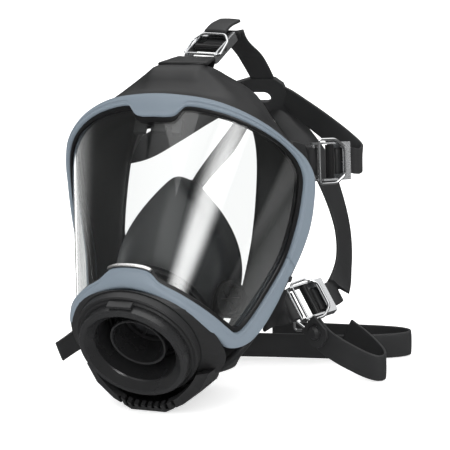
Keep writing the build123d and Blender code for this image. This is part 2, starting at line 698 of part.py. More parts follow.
for group, keys in (("top", ["top"]), ("temples", ["temple_left", "temple_right"]), ("cheeks", ["cheek_left", "cheek_right"])):
    with BuildPart() as placed:
        with Locations(*[buckle_planes[key].location for key in keys]):
            add(buckle_frame.part)
    save(placed, "buckle_frame_" + group)
for key in buckle_planes:
    with BuildPart() as placed:
        with Locations(buckle_planes[key].location):
            add(buckle_roller.part)
    save(placed, "buckle_roller_" + key)
    with BuildPart() as placed:
        with Locations(buckle_planes[key].location):
            add(buckle_loop.part)
    save(placed, "buckle_loop_" + key)


# ---- straps ------------------------------------------------------------------
def ribbon_rings(rows, width, thick):
    """Four-cornered rings along a strap; rows hold a centre and a width direction."""
    pts = [Vector(*r[:3]) for r in rows]
    rings = []
    for i, r in enumerate(rows):
        t = (pts[min(i + 1, len(pts) - 1)] - pts[max(i - 1, 0)]).normalized()
        w = Vector(*r[3:6])
        w = (w - t * w.dot(t)).normalized()
        n = t.cross(w)
        half = (r[6] if len(r) > 6 else width) / 2
        c = at(*r[:3])
        rings.append([c + w * half + n * (thick / 2), c - w * half + n * (thick / 2),
                      c - w * half - n * (thick / 2), c + w * half - n * (thick / 2)])
    return rings


def from_buckle(key, x, y=0.0, z=0.2):
    p = buckle_planes[key].from_local_coords((x, y, z))
    return (p.X - datum_x, p.Y - datum_y, p.Z - datum_z)


def across_buckle(key):
    v = buckle_planes[key].y_dir
    return (v.X, v.Y, v.Z)


plate_c, plate_b = (14.0, 104.0, 80.0), (0.0, -0.55, 0.835)


def on_plate(a, b):
    return (plate_c[0] + a, plate_c[1] + plate_b[1] * b, plate_c[2] + plate_b[2] * b)


harness = {
    "harness_top_strap": [on_plate(5, 12) + (1, 0, 0), (14, 88, 106, .98, .1, -.1), (10.5, 76, 115.5, .96, .1, -.15),
                          from_buckle("top", 20) + across_buckle("top"), from_buckle("top", 4.2) + across_buckle("top")],
    "harness_temple_strap_left": [on_plate(17, -3) + (.35, -.5, .78), (46, 107, 67, .45, -.3, .8),
                                  (66, 111, 51, .5, -.1, .82), (79, 111, 40, .25, .1, .96), (86, 105, 36, .0, .1, 1),
                                  (88.5, 94, 35.5, 0, .05, 1), (89, 83, 37, 0, 0, 1),
                                  from_buckle("temple_left", 16.0) + across_buckle("temple_left"),
                                  from_buckle("temple_left", 4.2) + across_buckle("temple_left")],
    "harness_temple_strap_right": [on_plate(-17, -3) + (-.35, -.5, .78), (-24, 98, 67, -.42, -.25, .85),
                                   (-46, 90, 53.5, -.40, -.2, .88), (-66, 83, 42.5, -.2, -.1, .97),
                                   (-80, 76, 39.5, -.05, 0, 1),
                                   from_buckle("temple_right", 16.0) + tuple(-c for c in across_buckle("temple_right")),
                                   from_buckle("temple_right", 4.2) + tuple(-c for c in across_buckle("temple_right"))],
    "harness_lower_strap_left": [on_plate(12, -14) + (.8, .35, -.45), (36, 113, 54, .82, .3, -.3), (52, 113, 34, .7, .45, -.2),
                                 (64, 110, 10, .5, .8, -.1), (73, 103, -14, .25, .95, .05), (77, 92, -34, .2, .95, .2),
                                 (77, 78, -49, .25, .8, .5),
                                 from_buckle("cheek_left", 15.5) + across_buckle("cheek_left"),
                                 from_buckle("cheek_left", 4.2) + across_buckle("cheek_left")],
    "harness_lower_strap_right": [on_plate(-10, -14) + (.8, -.3, .45), (-10, 105, 44, .83, -.1, .5), (-28, 101, 22, .8, -.2, .5),
                                  (-48, 95, -6, .7, -.45, .5), (-66, 86, -32, .5, -.7, .5), (-75, 76, -50, .2, -.8, .5),
                                  from_buckle("cheek_right", 15.5) + across_buckle("cheek_right"),
                                  from_buckle("cheek_right", 4.2) + across_buckle("cheek_right")],
}
with BuildPart() as harness_plate:
    with BuildSketch(Plane(origin=at(*plate_c), x_dir=(1, 0, 0), z_dir=Vector(1, 0, 0).cross(Vector(*plate_b)))):
        with BuildLine():
            Polyline((-4, 13), (14, 13), (19, 8), (22, -10), (17, -17), (5, -20), (-3, -20), (-15, -17), (-21, -10), (-19, 8),
                     close=True)
        make_face()
        with Locations((0, -3)):
            RectangleRounded(16, 9, 4.4, mode=Mode.SUBTRACT)
    extrude(amount=1.5, both=True)
save(harness_plate, "harness_plate")
for name in harness:
    with BuildPart() as strap:
        skin(ribbon_rings(harness[name], strap_w, strap_t))
        add(harness_plate.part, mode=Mode.SUBTRACT)
    print(name, strap.part.volume, len(strap.solids()))
    save(strap, name)

# loose end of the top strap, above the buckle
with BuildPart() as top_strap_end:
    skin(ribbon_rings([from_buckle("top", 10.0, 0, 6.8) + across_buckle("top"), from_buckle("top", 18.0, 0, 6.6) + across_buckle("top"),
                       from_buckle("top", 28.0, 0, 3.6) + across_buckle("top")], strap_w, 2.4))
save(top_strap_end, "top_strap_end")

# wire ring that carries the strap end below the cheek buckle, one each side
hangers = {}
for side, m in (("left", 1), ("right", -1)):
    apex, foot, heel = at(58.7 * m, 40.5, -63.6), at(68.0 * m, 40.2, -70.0), at(57.5 * m, 44.0, -71.5)
    ring_plane = Plane(origin=apex, x_dir=(foot - heel).normalized(), z_dir=(foot - apex).cross(heel - apex).normalized())
    a, b = ring_plane.to_local_coords(foot), ring_plane.to_local_coords(heel)
    start = (a + b) * 0.5
    with BuildPart() as hanger:
        with BuildLine(ring_plane):
            FilletPolyline((start.X, start.Y), (a.X, a.Y), (0, 0), (b.X, b.Y), (start.X + .02, start.Y), radius=1.6)
        with BuildSketch(Plane(origin=(foot + heel) * 0.5, z_dir=foot - heel)):
            Circle(0.9)
        sweep()
    print("ring", side, hanger.part.volume, len(hanger.solids()))
    hangers[side] = hanger.part
with BuildPart() as neck_strap_rings:
    add(hangers["left"])
    add(hangers["right"])
save(neck_strap_rings, "neck_strap_rings")

# rubber tabs from the face blank to the buckle bars
tabs = {
    "top": [(0, 12, 104.5, 1, 0, 0, 30), (0, 26, 108, 1, 0, 0, 26), from_buckle("top", -22, 0, -2.4) + across_buckle("top") + (20,),
            from_buckle("top", -10.2, 0, 0) + across_buckle("top") + (19,)],
    "temple_left": [(62, 30, 42, -.2, 0, 1, 30), (68, 44, 40, -.1, 0, 1, 24), from_buckle("temple_left", -16, 0, 0) + across_buckle("temple_left") + (20,),
                    from_buckle("temple_left", -10.2, 0, 0) + across_buckle("temple_left") + (19,)],
    "temple_right": [(-62, 30, 42, -.2, 0, -1, 30), (-68, 44, 40, -.1, 0, -1, 24), from_buckle("temple_right", -16, 0, 0) + across_buckle("temple_right") + (20,),
                     from_buckle("temple_right", -10.2, 0, 0) + across_buckle("temple_right") + (19,)],
    "cheek_left": [(49, 14, -52, 0, -.4, .9, 28), (54, 30, -53, .05, -.5, .85, 24), from_buckle("cheek_left", -18, 0, -1) + tuple(-c for c in across_buckle("cheek_left")) + (20,),
                   from_buckle("cheek_left", -10.2, 0, 0) + tuple(-c for c in across_buckle("cheek_left")) + (19,)],
    "cheek_right": [(-49, 14, -52, 0, -.4, .9, 28), (-54, 30, -53, -.05, -.5, .85, 24), from_buckle("cheek_right", -18, 0, -1) + across_buckle("cheek_right") + (20,),
                    from_buckle("cheek_right", -10.2, 0, 0) + across_buckle("cheek_right") + (19,)],
}
with BuildPart() as blank_core:
    skin([face_section(*r) for r in blank_rows])
for key in tabs:
    with BuildPart() as tab:
        skin(ribbon_rings(tabs[key], 20, 3.0))
        add(blank_core.part, mode=Mode.SUBTRACT)
        add(face_seal_lip.part, mode=Mode.SUBTRACT)
        with Locations(buckle_planes[key].location):
            add(buckle_frame.part, mode=Mode.SUBTRACT)
        for side in hangers:
            add(hangers[side], mode=Mode.SUBTRACT)
    print("tab", key, tab.part.volume, len(tab.solids()))
    save(tab, "strap_tab_" + key)

# ---- neck strap ----------------------------------------------------------------
def upright(points, tilt=(0, 0, 1)):
    return [p + tilt for p in points]


long_run = [(-72, 62, -74), (-66, 62, -83), (-54, 62, -90.0), (-30, 62, -90.4), (0, 64, -90.4), (30, 70, -90.4),
            (58, 75, -90.4), (84, 80, -90.4), (104, 88, -90.4), (116, 95.5, -90.4), (120.5, 101.5, -90.4),
            (119, 107, -90.4), (112, 110.5, -90.4), (98, 111, -90.4), (74, 108.5, -90.4), (44, 105.5, -90.4), (20, 103, -90.4)]
with BuildPart() as neck_strap_long:
    skin(ribbon_rings(upright(long_run), strap_w, strap_t))
save(neck_strap_long, "neck_strap_long")
with BuildPart() as neck_strap_end:
    skin(ribbon_rings([(-70, 40.2, -68.5, .25, .1, 1), (-83, 34.5, -75.5, .25, .1, 1), (-94, 25.5, -83.2, .22, .05, 1),
                       (-103, 13, -90.2, .22, 0, 1)], 16.0, strap_t))
    with BuildSketch(locked((-99.5, 18.5, -87.6), (.2, 0, 1), (-.8, -.57, .2)).offset(-6)):
        Circle(1.4)
    extrude(amount=12, mode=Mode.SUBTRACT)
    add(hangers["right"], mode=Mode.SUBTRACT)
save(neck_strap_end, "neck_strap_end")
loop_run = [(71.2, 40.4, -66.6, .59, -.19, .71), (80.5, 36.6, -75.0, .5, -.1, .8), (90, 34.6, -80.2, .3, 0, .95),
            (101, 33.4, -85.0, .12, .0, 1), (111, 32.8, -88.6, .05, 0, 1), (117.5, 34.0, -90.2, 0, 0, 1),
            (120.5, 38, -90.3, 0, 0, 1), (119, 43, -89.2, 0, 0, 1), (110, 50, -84, .1, 0, 1), (99, 55.5, -78, .15, 0, 1),
            (89, 59, -73, .2, 0, 1)]
# folded strap end with its stud, over the near run of the loop
stud_plane = locked((74.7, 37.6, -70.2), (.66, -.28, -.62), (-.42, -.9, .1))
with BuildPart() as neck_strap_lap:
    with BuildSketch(stud_plane):
        with BuildLine():
            Polyline((-8.5, -7.5), (4, -8.2), (8.0, -6.2), (9.6, -3), (9.8, 1), (8.6, 5), (5, 8.0), (-8.5, 7.5), close=True)
        make_face()
        Circle(2.05, mode=Mode.SUBTRACT)
    extrude(amount=2.0)
    add(hangers["left"], mode=Mode.SUBTRACT)
save(neck_strap_lap, "neck_strap_lap")
with BuildPart() as neck_strap_loop:
    skin(ribbon_rings(loop_run, strap_w, strap_t))
    with BuildSketch(locked((106, 34.8, -86.2), (.8, -.2, -.5), (-.25, -.95, 0)).offset(-4)):
        Circle(1.4)
    extrude(amount=8, mode=Mode.SUBTRACT)
    add(hangers["left"], mode=Mode.SUBTRACT)
    add(neck_strap_lap.part, mode=Mode.SUBTRACT)
save(neck_strap_loop, "neck_strap_loop")

with BuildPart() as neck_strap_stud:
    with BuildSketch(stud_plane.offset(2.05)):
        Circle(5.4)
    extrude(amount=1.0)
    with BuildSketch(stud_plane.offset(3.05)):
        Circle(4.4)
    extrude(amount=2.2, taper=30)
    with BuildSketch(stud_plane):
        Circle(2.0)
    extrude(amount=2.05)
save(neck_strap_stud, "neck_strap_stud")

# ---- clips and fasteners of the lens frame -------------------------------------
with BuildPart() as top_retainer_clip:
    with BuildSketch(cone_rz):
        with BuildLine():
            Polyline(*cone_ring(20.5, 30.5, -7.4, -4.6), close=True)
        make_face()
    revolve(axis=cone_axis)
    with BuildSketch(cone_front):
        with BuildLine():
            Polyline((-15.5, 30), (15.5, 30), (15.5, 21), (10, 21), (10, 24.4), (6, 24.4), (6, 21), (-3.5, 21), (-3.5, 24.4),
                     (-7.5, 24.4), (-7.5, 21), (-15.5, 21), close=True)
        make_face()
    extrude(amount=130, mode=Mode.INTERSECT)
save(top_retainer_clip, "top_retainer_clip")
with BuildPart() as lower_spring_clip:
    with BuildSketch(cone_rz):
        with BuildLine():
            Polyline(*cone_ring(-70, -60, 0.35, 1.35), close=True)
        make_face()
    revolve(axis=cone_axis)
    with BuildSketch(cone_front):
        with BuildLine():
            Polyline((-13.6, -68.0), (13.6, -68.0), (10.6, -63.0), (-10.6, -63.0), close=True)
        make_face()
    extrude(amount=130, mode=Mode.INTERSECT)
save(lower_spring_clip, "lower_spring_clip")
with BuildPart() as frame_screws:
    with BuildSketch(Plane(origin=datum + zM * -23.4, x_dir=xM, z_dir=zM)):
        with Locations((70.5, 14.4), (-70.5, 14.4)):
            Circle(1.5)
    extrude(amount=15.5)
    with BuildSketch(Plane(origin=datum + zM * -7.95, x_dir=xM, z_dir=zM)):
        with Locations((70.5, 14.4), (-70.5, 14.4)):
            Circle(2.8)
            RegularPolygon(1.3, 6, mode=Mode.SUBTRACT)
    extrude(amount=2.2)
    with BuildSketch(Plane(origin=datum + zM * -7.95, x_dir=xM, z_dir=zM)):
        with Locations((70.5, 14.4), (-70.5, 14.4)):
            Circle(2.0)
    extrude(amount=0.8)
save(frame_screws, "frame_screws")
with BuildPart() as frame_nuts:
    with BuildSketch(Plane(origin=datum + zM * -22.4, x_dir=xM, z_dir=zM)):
        with Locations((70.5, 14.4), (-70.5, 14.4)):
            RegularPolygon(3.1, 6)
            Circle(1.52, mode=Mode.SUBTRACT)
    extrude(amount=2.35)
save(frame_nuts, "frame_nuts")
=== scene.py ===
import json
import math

import bpy
import numpy as np
from mathutils import Matrix, Vector


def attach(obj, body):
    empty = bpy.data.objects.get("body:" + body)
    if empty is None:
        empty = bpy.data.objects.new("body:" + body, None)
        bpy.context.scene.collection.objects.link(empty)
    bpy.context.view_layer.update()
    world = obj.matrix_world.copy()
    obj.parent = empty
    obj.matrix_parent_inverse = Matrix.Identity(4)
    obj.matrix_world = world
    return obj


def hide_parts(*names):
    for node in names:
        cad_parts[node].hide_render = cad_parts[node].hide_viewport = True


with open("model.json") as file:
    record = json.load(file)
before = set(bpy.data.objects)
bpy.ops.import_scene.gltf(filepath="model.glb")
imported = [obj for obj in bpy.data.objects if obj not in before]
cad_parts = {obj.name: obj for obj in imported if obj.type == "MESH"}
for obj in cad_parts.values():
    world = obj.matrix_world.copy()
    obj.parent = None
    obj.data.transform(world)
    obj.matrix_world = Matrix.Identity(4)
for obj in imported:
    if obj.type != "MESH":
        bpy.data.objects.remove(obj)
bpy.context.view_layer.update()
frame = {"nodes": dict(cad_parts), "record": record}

# ---------------------------------------------------------------- frames (mm)
D = np.array([-8.693, -8.521, 99.0])
ct, st = math.cos(math.radians(45.26)), math.sin(math.radians(45.26))
cp, sp = math.cos(math.radians(28.87)), math.sin(math.radians(28.87))
ca, sa = math.cos(math.radians(17.0)), math.sin(math.radians(17.0))
R0, SL = 75.0, 0.336


def at(x, y, z):
    return D + np.array([x, y, z], float)


def mv(x, y, z):
    """A point of the visor cone's frame in the row frame."""
    return D + np.array([x, y * ct + z * st, -y * st + z * ct])


def mdir(v):
    return np.array([v[0], v[1] * ct + v[2] * st, -v[1] * st + v[2] * ct])


def fp(x, s, d):
    return D + np.array([x, 8 + s * sa + d * ca, s * ca - d * sa])


P0 = at(0, -82.12, -55.92)


def pp(x, y, z):
    """Port frame: x across, y up the port's face, z out of it."""
    return P0 + np.array([x, -sp * y - cp * z, cp * y - sp * z])


def cone(theta, z, off=0.0):
    r = R0 + SL * z + off
    return mv(r * math.sin(theta), -r * math.cos(theta), z)


def cone_normal(theta):
    n = mdir(np.array([math.sin(theta), -math.cos(theta), -SL]))
    return n / np.linalg.norm(n)


def unit(v):
    v = np.asarray(v, float)
    return v / max(np.linalg.norm(v), 1e-9)


# ---------------------------------------------------------------- mesh helpers
def spline(pts, n, closed=False, sub=24):
    """Evenly spaced points on a smooth curve through pts."""
    p = np.asarray(pts, float)
    if closed:
        q = np.vstack([p[-1], p, p[0], p[1]])
    else:
        q = np.vstack([2 * p[0] - p[1], p, 2 * p[-1] - p[-2]])
    out = []
    for i in range(1, len(q) - 2):
        a, b, c, d = q[i - 1], q[i], q[i + 1], q[i + 2]
        t0 = 0.0
        t1 = t0 + max(np.linalg.norm(b - a), 1e-6) ** 0.5
        t2 = t1 + max(np.linalg.norm(c - b), 1e-6) ** 0.5
        t3 = t2 + max(np.linalg.norm(d - c), 1e-6) ** 0.5
        for k in range(sub):
            t = t1 + (t2 - t1) * k / sub
            a1 = (t1 - t) / (t1 - t0) * a + (t - t0) / (t1 - t0) * b
            a2 = (t2 - t) / (t2 - t1) * b + (t - t1) / (t2 - t1) * c
            a3 = (t3 - t) / (t3 - t2) * c + (t - t2) / (t3 - t2) * d
            b1 = (t2 - t) / (t2 - t0) * a1 + (t - t0) / (t2 - t0) * a2
            b2 = (t3 - t) / (t3 - t1) * a2 + (t - t1) / (t3 - t1) * a3
            out.append((t2 - t) / (t2 - t1) * b1 + (t - t1) / (t2 - t1) * b2)
    out.append(q[-2])
    out = np.array(out)
    s = np.concatenate([[0], np.cumsum(np.linalg.norm(np.diff(out, axis=0), axis=1))])
    want = np.linspace(0, s[-1], n + 1 if closed else n)
    if closed:
        want = want[:-1]
    return np.stack([np.interp(want, s, out[:, k]) for k in range(out.shape[1])], axis=1)


def smooth01(t):
    t = np.clip(t, 0, 1)
    return t * t * (3 - 2 * t)


def build(name, verts, faces, material, body="root", smooth=True, angle=None):
    me = bpy.data.meshes.new(name)
    me.from_pydata([tuple(float(c) / 1000 for c in v) for v in verts], [], [tuple(f) for f in faces])
    me.validate()
    ob = bpy.data.objects.new(name, me)
    bpy.context.scene.collection.objects.link(ob)
    me.materials.append(material)
    if smooth:
        me.polygons.foreach_set("use_smooth", [True] * len(me.polygons))
    bpy.context.view_layer.objects.active = ob
    for o in bpy.context.selected_objects:
        o.select_set(False)
    ob.select_set(True)
    bpy.ops.object.mode_set(mode="EDIT")
    bpy.ops.mesh.select_all(action="SELECT")
    bpy.ops.mesh.normals_make_consistent(inside=False)
    bpy.ops.object.mode_set(mode="OBJECT")
    if angle:
        bpy.ops.object.shade_smooth_by_angle(angle=math.radians(angle))
        ob.data.update()
    ob.select_set(False)
    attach(ob, body)
    return ob


def loft(rings, closed=False, caps=True, base=0):
    """Quads through equal rings; closed joins the last ring to the first."""
    k = len(rings[0])
    verts = [v for r in rings for v in r]
    faces = []
    n = len(rings)
    for i in range(n if closed else n - 1):
        a, b = i * k, ((i + 1) % n) * k
        for j in range(k):
            faces.append((base + a + j, base + a + (j + 1) % k, base + b + (j + 1) % k, base + b + j))
    if caps and not closed:
        for at0 in (0, (n - 1) * k):
            c = len(verts)
            verts.append(np.mean(rings[0 if at0 == 0 else -1], axis=0))
            for j in range(k):
                faces.append((base + c, base + at0 + j, base + at0 + (j + 1) % k))
    return verts, faces


def join(parts):
    verts, faces = [], []
    for v, f in parts:
        b = len(verts)
        verts += list(v)
        faces += [tuple(b + i for i in t) for t in f]
    return verts, faces


def tube(pts, radius, sides=12, closed=False):
    p = np.asarray(pts, float)
    n = len(p)
    rings = []
    t0 = None
    u = None
    for i in range(n):
        if closed:
            t = unit(p[(i + 1) % n] - p[i - 1])
        else:
            t = unit(p[min(i + 1, n - 1)] - p[max(i - 1, 0)])
        if u is None:
            u = unit(np.cross(t, [0.3, 0.2, 0.93]))
        else:
            u = unit(u - t * (u @ t))
        w = np.cross(t, u)
        r = radius(i / (n - 1)) if callable(radius) else radius
        rings.append([p[i] + r * (math.cos(a) * u + math.sin(a) * w) for a in np.linspace(0, 2 * math.pi, sides, endpoint=False)])
    return loft(rings, closed=closed)


def lathe(profile, place, steps=96):
    """Closed profile of (radius, height) turned about place's axis."""
    rings = []
    for a in np.linspace(0, 2 * math.pi, steps, endpoint=False):
        rings.append([place(r * math.sin(a), r * math.cos(a), z) for r, z in profile])
    return loft(rings, closed=True)


# ---------------------------------------------------------------- materials
def material(name, base, rough, metallic=0.0, spec=0.5, grain=900.0, bump=0.03, vary=0.12, rough_vary=0.08,
             coat=0.0, blotch=18.0, stretch=(1, 1, 1), edge_highlight=0.0, second=None):
    m = bpy.data.materials.new(name)
    m.use_nodes = True
    nt = m.node_tree
    n, l = nt.nodes, nt.links
    b = n["Principled BSDF"]
    b.inputs["Metallic"].default_value = metallic
    b.inputs["Specular IOR Level"].default_value = spec
    b.inputs["Coat Weight"].default_value = coat
    b.inputs["Coat Roughness"].default_value = 0.18
    tc = n.new("ShaderNodeTexCoord")
    mp = n.new("ShaderNodeMapping")
    mp.inputs["Scale"].default_value = stretch
    l.new(tc.outputs["Object"], mp.inputs["Vector"])
    big = n.new("ShaderNodeTexNoise")
    big.inputs["Scale"].default_value = blotch
    big.inputs["Detail"].default_value = 5
    big.inputs["Roughness"].default_value = 0.6
    l.new(mp.outputs["Vector"], big.inputs["Vector"])
    fine = n.new("ShaderNodeTexNoise")
    fine.inputs["Scale"].default_value = grain
    fine.inputs["Detail"].default_value = 3
    l.new(mp.outputs["Vector"], fine.inputs["Vector"])
    ramp = n.new("ShaderNodeValToRGB")
    e = ramp.color_ramp.elements
    lo = [c * (1 - vary) for c in base]
    hi = [min(1, c * (1 + vary)) for c in (second or base)]
    e[0].position, e[1].position = 0.3, 0.7
    e[0].color, e[1].color = (*lo, 1), (*hi, 1)
    l.new(big.outputs["Fac"], ramp.inputs["Fac"])
    colour = ramp.outputs["Color"]
    # painted highlight: convex edges (high pointiness) are mixed towards a lighter copy of the base colour
    if edge_highlight > 0:
        geo = n.new("ShaderNodeNewGeometry")
        pr = n.new("ShaderNodeValToRGB")
        pe = pr.color_ramp.elements
        pe[0].position, pe[1].position = 0.52, 0.60
        pe[0].color, pe[1].color = (0, 0, 0, 1), (1, 1, 1, 1)
        l.new(geo.outputs["Pointiness"], pr.inputs["Fac"])
        k = n.new("ShaderNodeMath")
        k.operation = "MULTIPLY"
        k.inputs[1].default_value = edge_highlight
        l.new(pr.outputs["Color"], k.inputs[0])
        mix = n.new("ShaderNodeMix")
        mix.data_type = "RGBA"
        l.new(k.outputs[0], mix.inputs["Factor"])
        l.new(colour, mix.inputs["A"])
        mix.inputs["B"].default_value = (*[min(1, c * 2.2 + 0.03) for c in base], 1)
        colour = mix.outputs["Result"]
    l.new(colour, b.inputs["Base Color"])
    mr = n.new("ShaderNodeMapRange")
    mr.inputs["To Min"].default_value = max(0.02, rough - rough_vary)
    mr.inputs["To Max"].default_value = min(1, rough + rough_vary)
    mr.inputs["From Min"].default_value = 0.3
    mr.inputs["From Max"].default_value = 0.7
    l.new(big.outputs["Fac"], mr.inputs["Value"])
    l.new(mr.outputs["Result"], b.inputs["Roughness"])
    if bump > 0:
        bp = n.new("ShaderNodeBump")
        bp.inputs["Strength"].default_value = bump * 4
        bp.inputs["Distance"].default_value = 0.0002
        l.new(fine.outputs["Fac"], bp.inputs["Height"])
        l.new(bp.outputs["Normal"], b.inputs["Normal"])
    return m


def clear_material():
    m = bpy.data.materials.new("clear_polycarbonate")
    m.use_nodes = True
    nt = m.node_tree
    n, l = nt.nodes, nt.links
    b = n["Principled BSDF"]
    out = n["Material Output"]
    b.inputs["Base Color"].default_value = (0.97, 0.985, 0.98, 1)
    b.inputs["Roughness"].default_value = 0.015
    b.inputs["IOR"].default_value = 1.5
    b.inputs["Transmission Weight"].default_value = 1.0
    tc = n.new("ShaderNodeTexCoord")
    nz = n.new("ShaderNodeTexNoise")
    nz.inputs["Scale"].default_value = 9.0
    nz.inputs["Detail"].default_value = 2
    l.new(tc.outputs["Object"], nz.inputs["Vector"])
    mr = n.new("ShaderNodeMapRange")
    mr.inputs["To Min"].default_value = 0.008
    mr.inputs["To Max"].default_value = 0.035
    l.new(nz.outputs["Fac"], mr.inputs["Value"])
    l.new(mr.outputs["Result"], b.inputs["Roughness"])
    tr = n.new("ShaderNodeBsdfTransparent")
    tr.inputs["Color"].default_value = (0.93, 0.945, 0.945, 1)
    lp = n.new("ShaderNodeLightPath")
    mx = n.new("ShaderNodeMixShader")
    l.new(lp.outputs["Is Shadow Ray"], mx.inputs["Fac"])
    l.new(b.outputs["BSDF"], mx.inputs[1])
    l.new(tr.outputs["BSDF"], mx.inputs[2])
    l.new(mx.outputs["Shader"], out.inputs["Surface"])
    return m


# several materials below lighten their convex edges: a painted edge highlight, not dirt
MAT = {
    "clear": clear_material(),
    "frame": material("frame_blue_gray", (0.175, 0.215, 0.255), 0.42, spec=0.45, grain=2600, bump=0.05, vary=0.05, rough_vary=0.05, blotch=9, edge_highlight=0.10),
    "gasket": material("gasket_black", (0.006, 0.006, 0.0065), 0.38, spec=0.5, grain=1800, bump=0.04),
    "rubber": material("face_rubber", (0.0125, 0.0128, 0.0135), 0.46, spec=0.5, grain=2400, bump=0.07, vary=0.15, edge_highlight=0.06),
    "lip": material("seal_rubber", (0.0115, 0.0118, 0.0125), 0.36, spec=0.5, grain=2000, bump=0.03, vary=0.12),
    "cup": material("nose_cup_rubber", (0.022, 0.0235, 0.0255), 0.34, spec=0.55, grain=2200, bump=0.04, vary=0.12),
    "strap": material("strap_rubber", (0.021, 0.0215, 0.0225), 0.50, spec=0.42, grain=1500, bump=0.12, vary=0.16, edge_highlight=0.12, stretch=(1, 1, 1)),
    "plastic": material("black_plastic", (0.0150, 0.0152, 0.0158), 0.36, spec=0.5, grain=2000, bump=0.04, vary=0.12, edge_highlight=0.05),
    "matte": material("black_matte_plastic", (0.018, 0.0182, 0.0190), 0.44, spec=0.45, grain=1900, bump=0.09, vary=0.12, edge_highlight=0.05),
    "wire": material("bright_wire", (0.78, 0.79, 0.80), 0.14, metallic=1.0, grain=1500, bump=0.02, vary=0.05, rough_vary=0.05),
    "steel": material("buckle_steel", (0.62, 0.63, 0.64), 0.27, metallic=1.0, grain=700, bump=0.05, vary=0.06, stretch=(1, 1, 6)),
    "spring": material("spring_steel", (0.60, 0.60, 0.59), 0.24, metallic=1.0, grain=900, bump=0.03, vary=0.06),
    "valve": material("valve_rubber", (0.03, 0.031, 0.033), 0.5, spec=0.4, grain=1600, bump=0.05),
    "film": material("diaphragm_film", (0.5, 0.5, 0.47), 0.3, metallic=1.0, grain=500, bump=0.05),
    "port": material("port_plastic", (0.0185, 0.0187, 0.0195), 0.27, spec=0.6, grain=2200, bump=0.05, vary=0.12, rough_vary=0.06, edge_highlight=0.08),
    "screw": material("screw_steel", (0.10, 0.104, 0.11), 0.42, metallic=0.8, grain=900, bump=0.05, vary=0.08),
    "roller": material("roller_plastic", (0.009, 0.009, 0.0095), 0.36, spec=0.5, grain=1600, bump=0.05),
    "plate": material("buckle_plate", (0.50, 0.51, 0.52), 0.36, metallic=0.85, grain=900, bump=0.04, vary=0.05),
}
SLOT_MAT = {"clear_lens": "clear", "frame_plastic": "frame", "gasket_rubber": "gasket", "face_rubber": "rubber", "cup_rubber": "cup",
            "valve_rubber": "valve", "strap_rubber": "strap", "buckle_steel": "steel", "bright_wire": "wire", "roller_plastic": "roller",
            "spring_steel": "spring", "diaphragm_film": "film", "black_plastic": "plastic"}
for part in frame["record"]["subparts"]:
    ob = frame["nodes"][part["node"]]
    ob.data.materials.clear()
    key = {"frame_screws": "screw", "frame_nuts": "screw", "port_ring": "port", "port_sleeve": "port", "port_lock_ring": "matte", "component_housing": "matte", "exhalation_cover": "matte"}
    ob.data.materials.append(MAT[key.get(part["node"], SLOT_MAT[part["material_slot"]])])

# ---------------------------------------------------------------- visor and its clamp frame
INNER = [(0.0, 25.7), (0.10, 25.9), (0.150, 27.2), (0.183, 30.4), (0.212, 33.2), (0.26, 34.0), (0.40, 34.4), (0.56, 34.5), (0.74, 34.0),
         (0.946, 33.0), (1.119, 30.4), (1.237, 25.2), (1.340, 14.8), (1.461, 0.4), (1.599, -18.5), (1.648, -42.5), (1.652, -60.0), (1.615, -68.6),
         (1.530, -73.0), (1.372, -74.7), (1.147, -75.0), (0.889, -74.4), (0.60, -72.7), (0.44, -71.4), (0.35, -70.0), (0.275, -67.2),
         (0.205, -65.1), (0.10, -64.5), (0.0, -64.4)]
OUTER_TOP = [(0.0, 40.0), (0.27, 40.2), (0.43, 40.3), (0.62, 39.4), (0.823, 37.9), (1.02, 36.0)]
OUTER_SIDE = [(83.8, -34, 35.2), (86.8, -22, 30.5), (85.5, -10, 21.5), (82.5, 2, 8), (76.8, 11.5, -8), (71.2, 15.5, -24), (67.3, 16.6, -42),
              (62.5, 15.6, -60), (57.5, 11, -73), (51.0, 2, -81.5)]
OUTER_LOW = [(1.24, -83.9), (0.98, -83.0), (0.57, -80.0), (0.288, -77.8), (0.0, -76.6)]


def half_inner():
    pts = [cone(t, z, 4.0) for t, z in INNER]
    return np.array(pts)


def half_outer():
    pts = [cone(t, z, 4.0) for t, z in OUTER_TOP] + [mv(*p) for p in OUTER_SIDE] + [cone(t, z, 4.0) for t, z in OUTER_LOW]
    return np.array(pts)


def mirrored(half):
    """Closed loop from a half loop that starts and ends on the middle plane."""
    other = half[1:-1][::-1].copy()
    other[:, 0] = 2 * D[0] - other[:, 0]
    return np.vstack([half, other])


def half_resample(half, anchors, counts):
    """The half loop resampled between anchor points, evenly within each stretch."""
    ext = np.vstack([half, ])
    lead, tail = half[1].copy(), half[-2].copy()
    lead[0], tail[0] = 2 * D[0] - lead[0], 2 * D[0] - tail[0]
    fine = spline(np.vstack([lead, ext, tail]), 4000)
    a = int(np.argmin(np.linalg.norm(fine - half[0], axis=1)))
    b = int(np.argmin(np.linalg.norm(fine - half[-1], axis=1)))
    fine = fine[a:b + 1]
    marks = [0] + [int(np.argmin(np.linalg.norm(fine - half[k], axis=1))) for k in anchors] + [len(fine) - 1]
    out = []
    for i, c in enumerate(counts):
        seg = fine[marks[i]:marks[i + 1] + 1]
        s = np.concatenate([[0], np.cumsum(np.linalg.norm(np.diff(seg, axis=0), axis=1))])
        want = np.linspace(0, s[-1], c + 1)[:-1]
        out.append(np.stack([np.interp(want, s, seg[:, k]) for k in range(3)], axis=1))
    out.append(fine[-1:])
    r = np.vstack(out)
    r[0, 0] = r[-1, 0] = D[0]
    return r


COUNTS = (70, 52, 70)
inner_half = half_resample(half_inner(), (11, 18), COUNTS)
outer_half = half_resample(half_outer(), (7, 15), COUNTS)
inner_loop, outer_loop = mirrored(inner_half), mirrored(outer_half)
N = len(inner_loop)


def theta_of(p):
    q = p - D
    x, y = q[0], q[1] * ct - q[2] * st
    return math.atan2(x, -y)


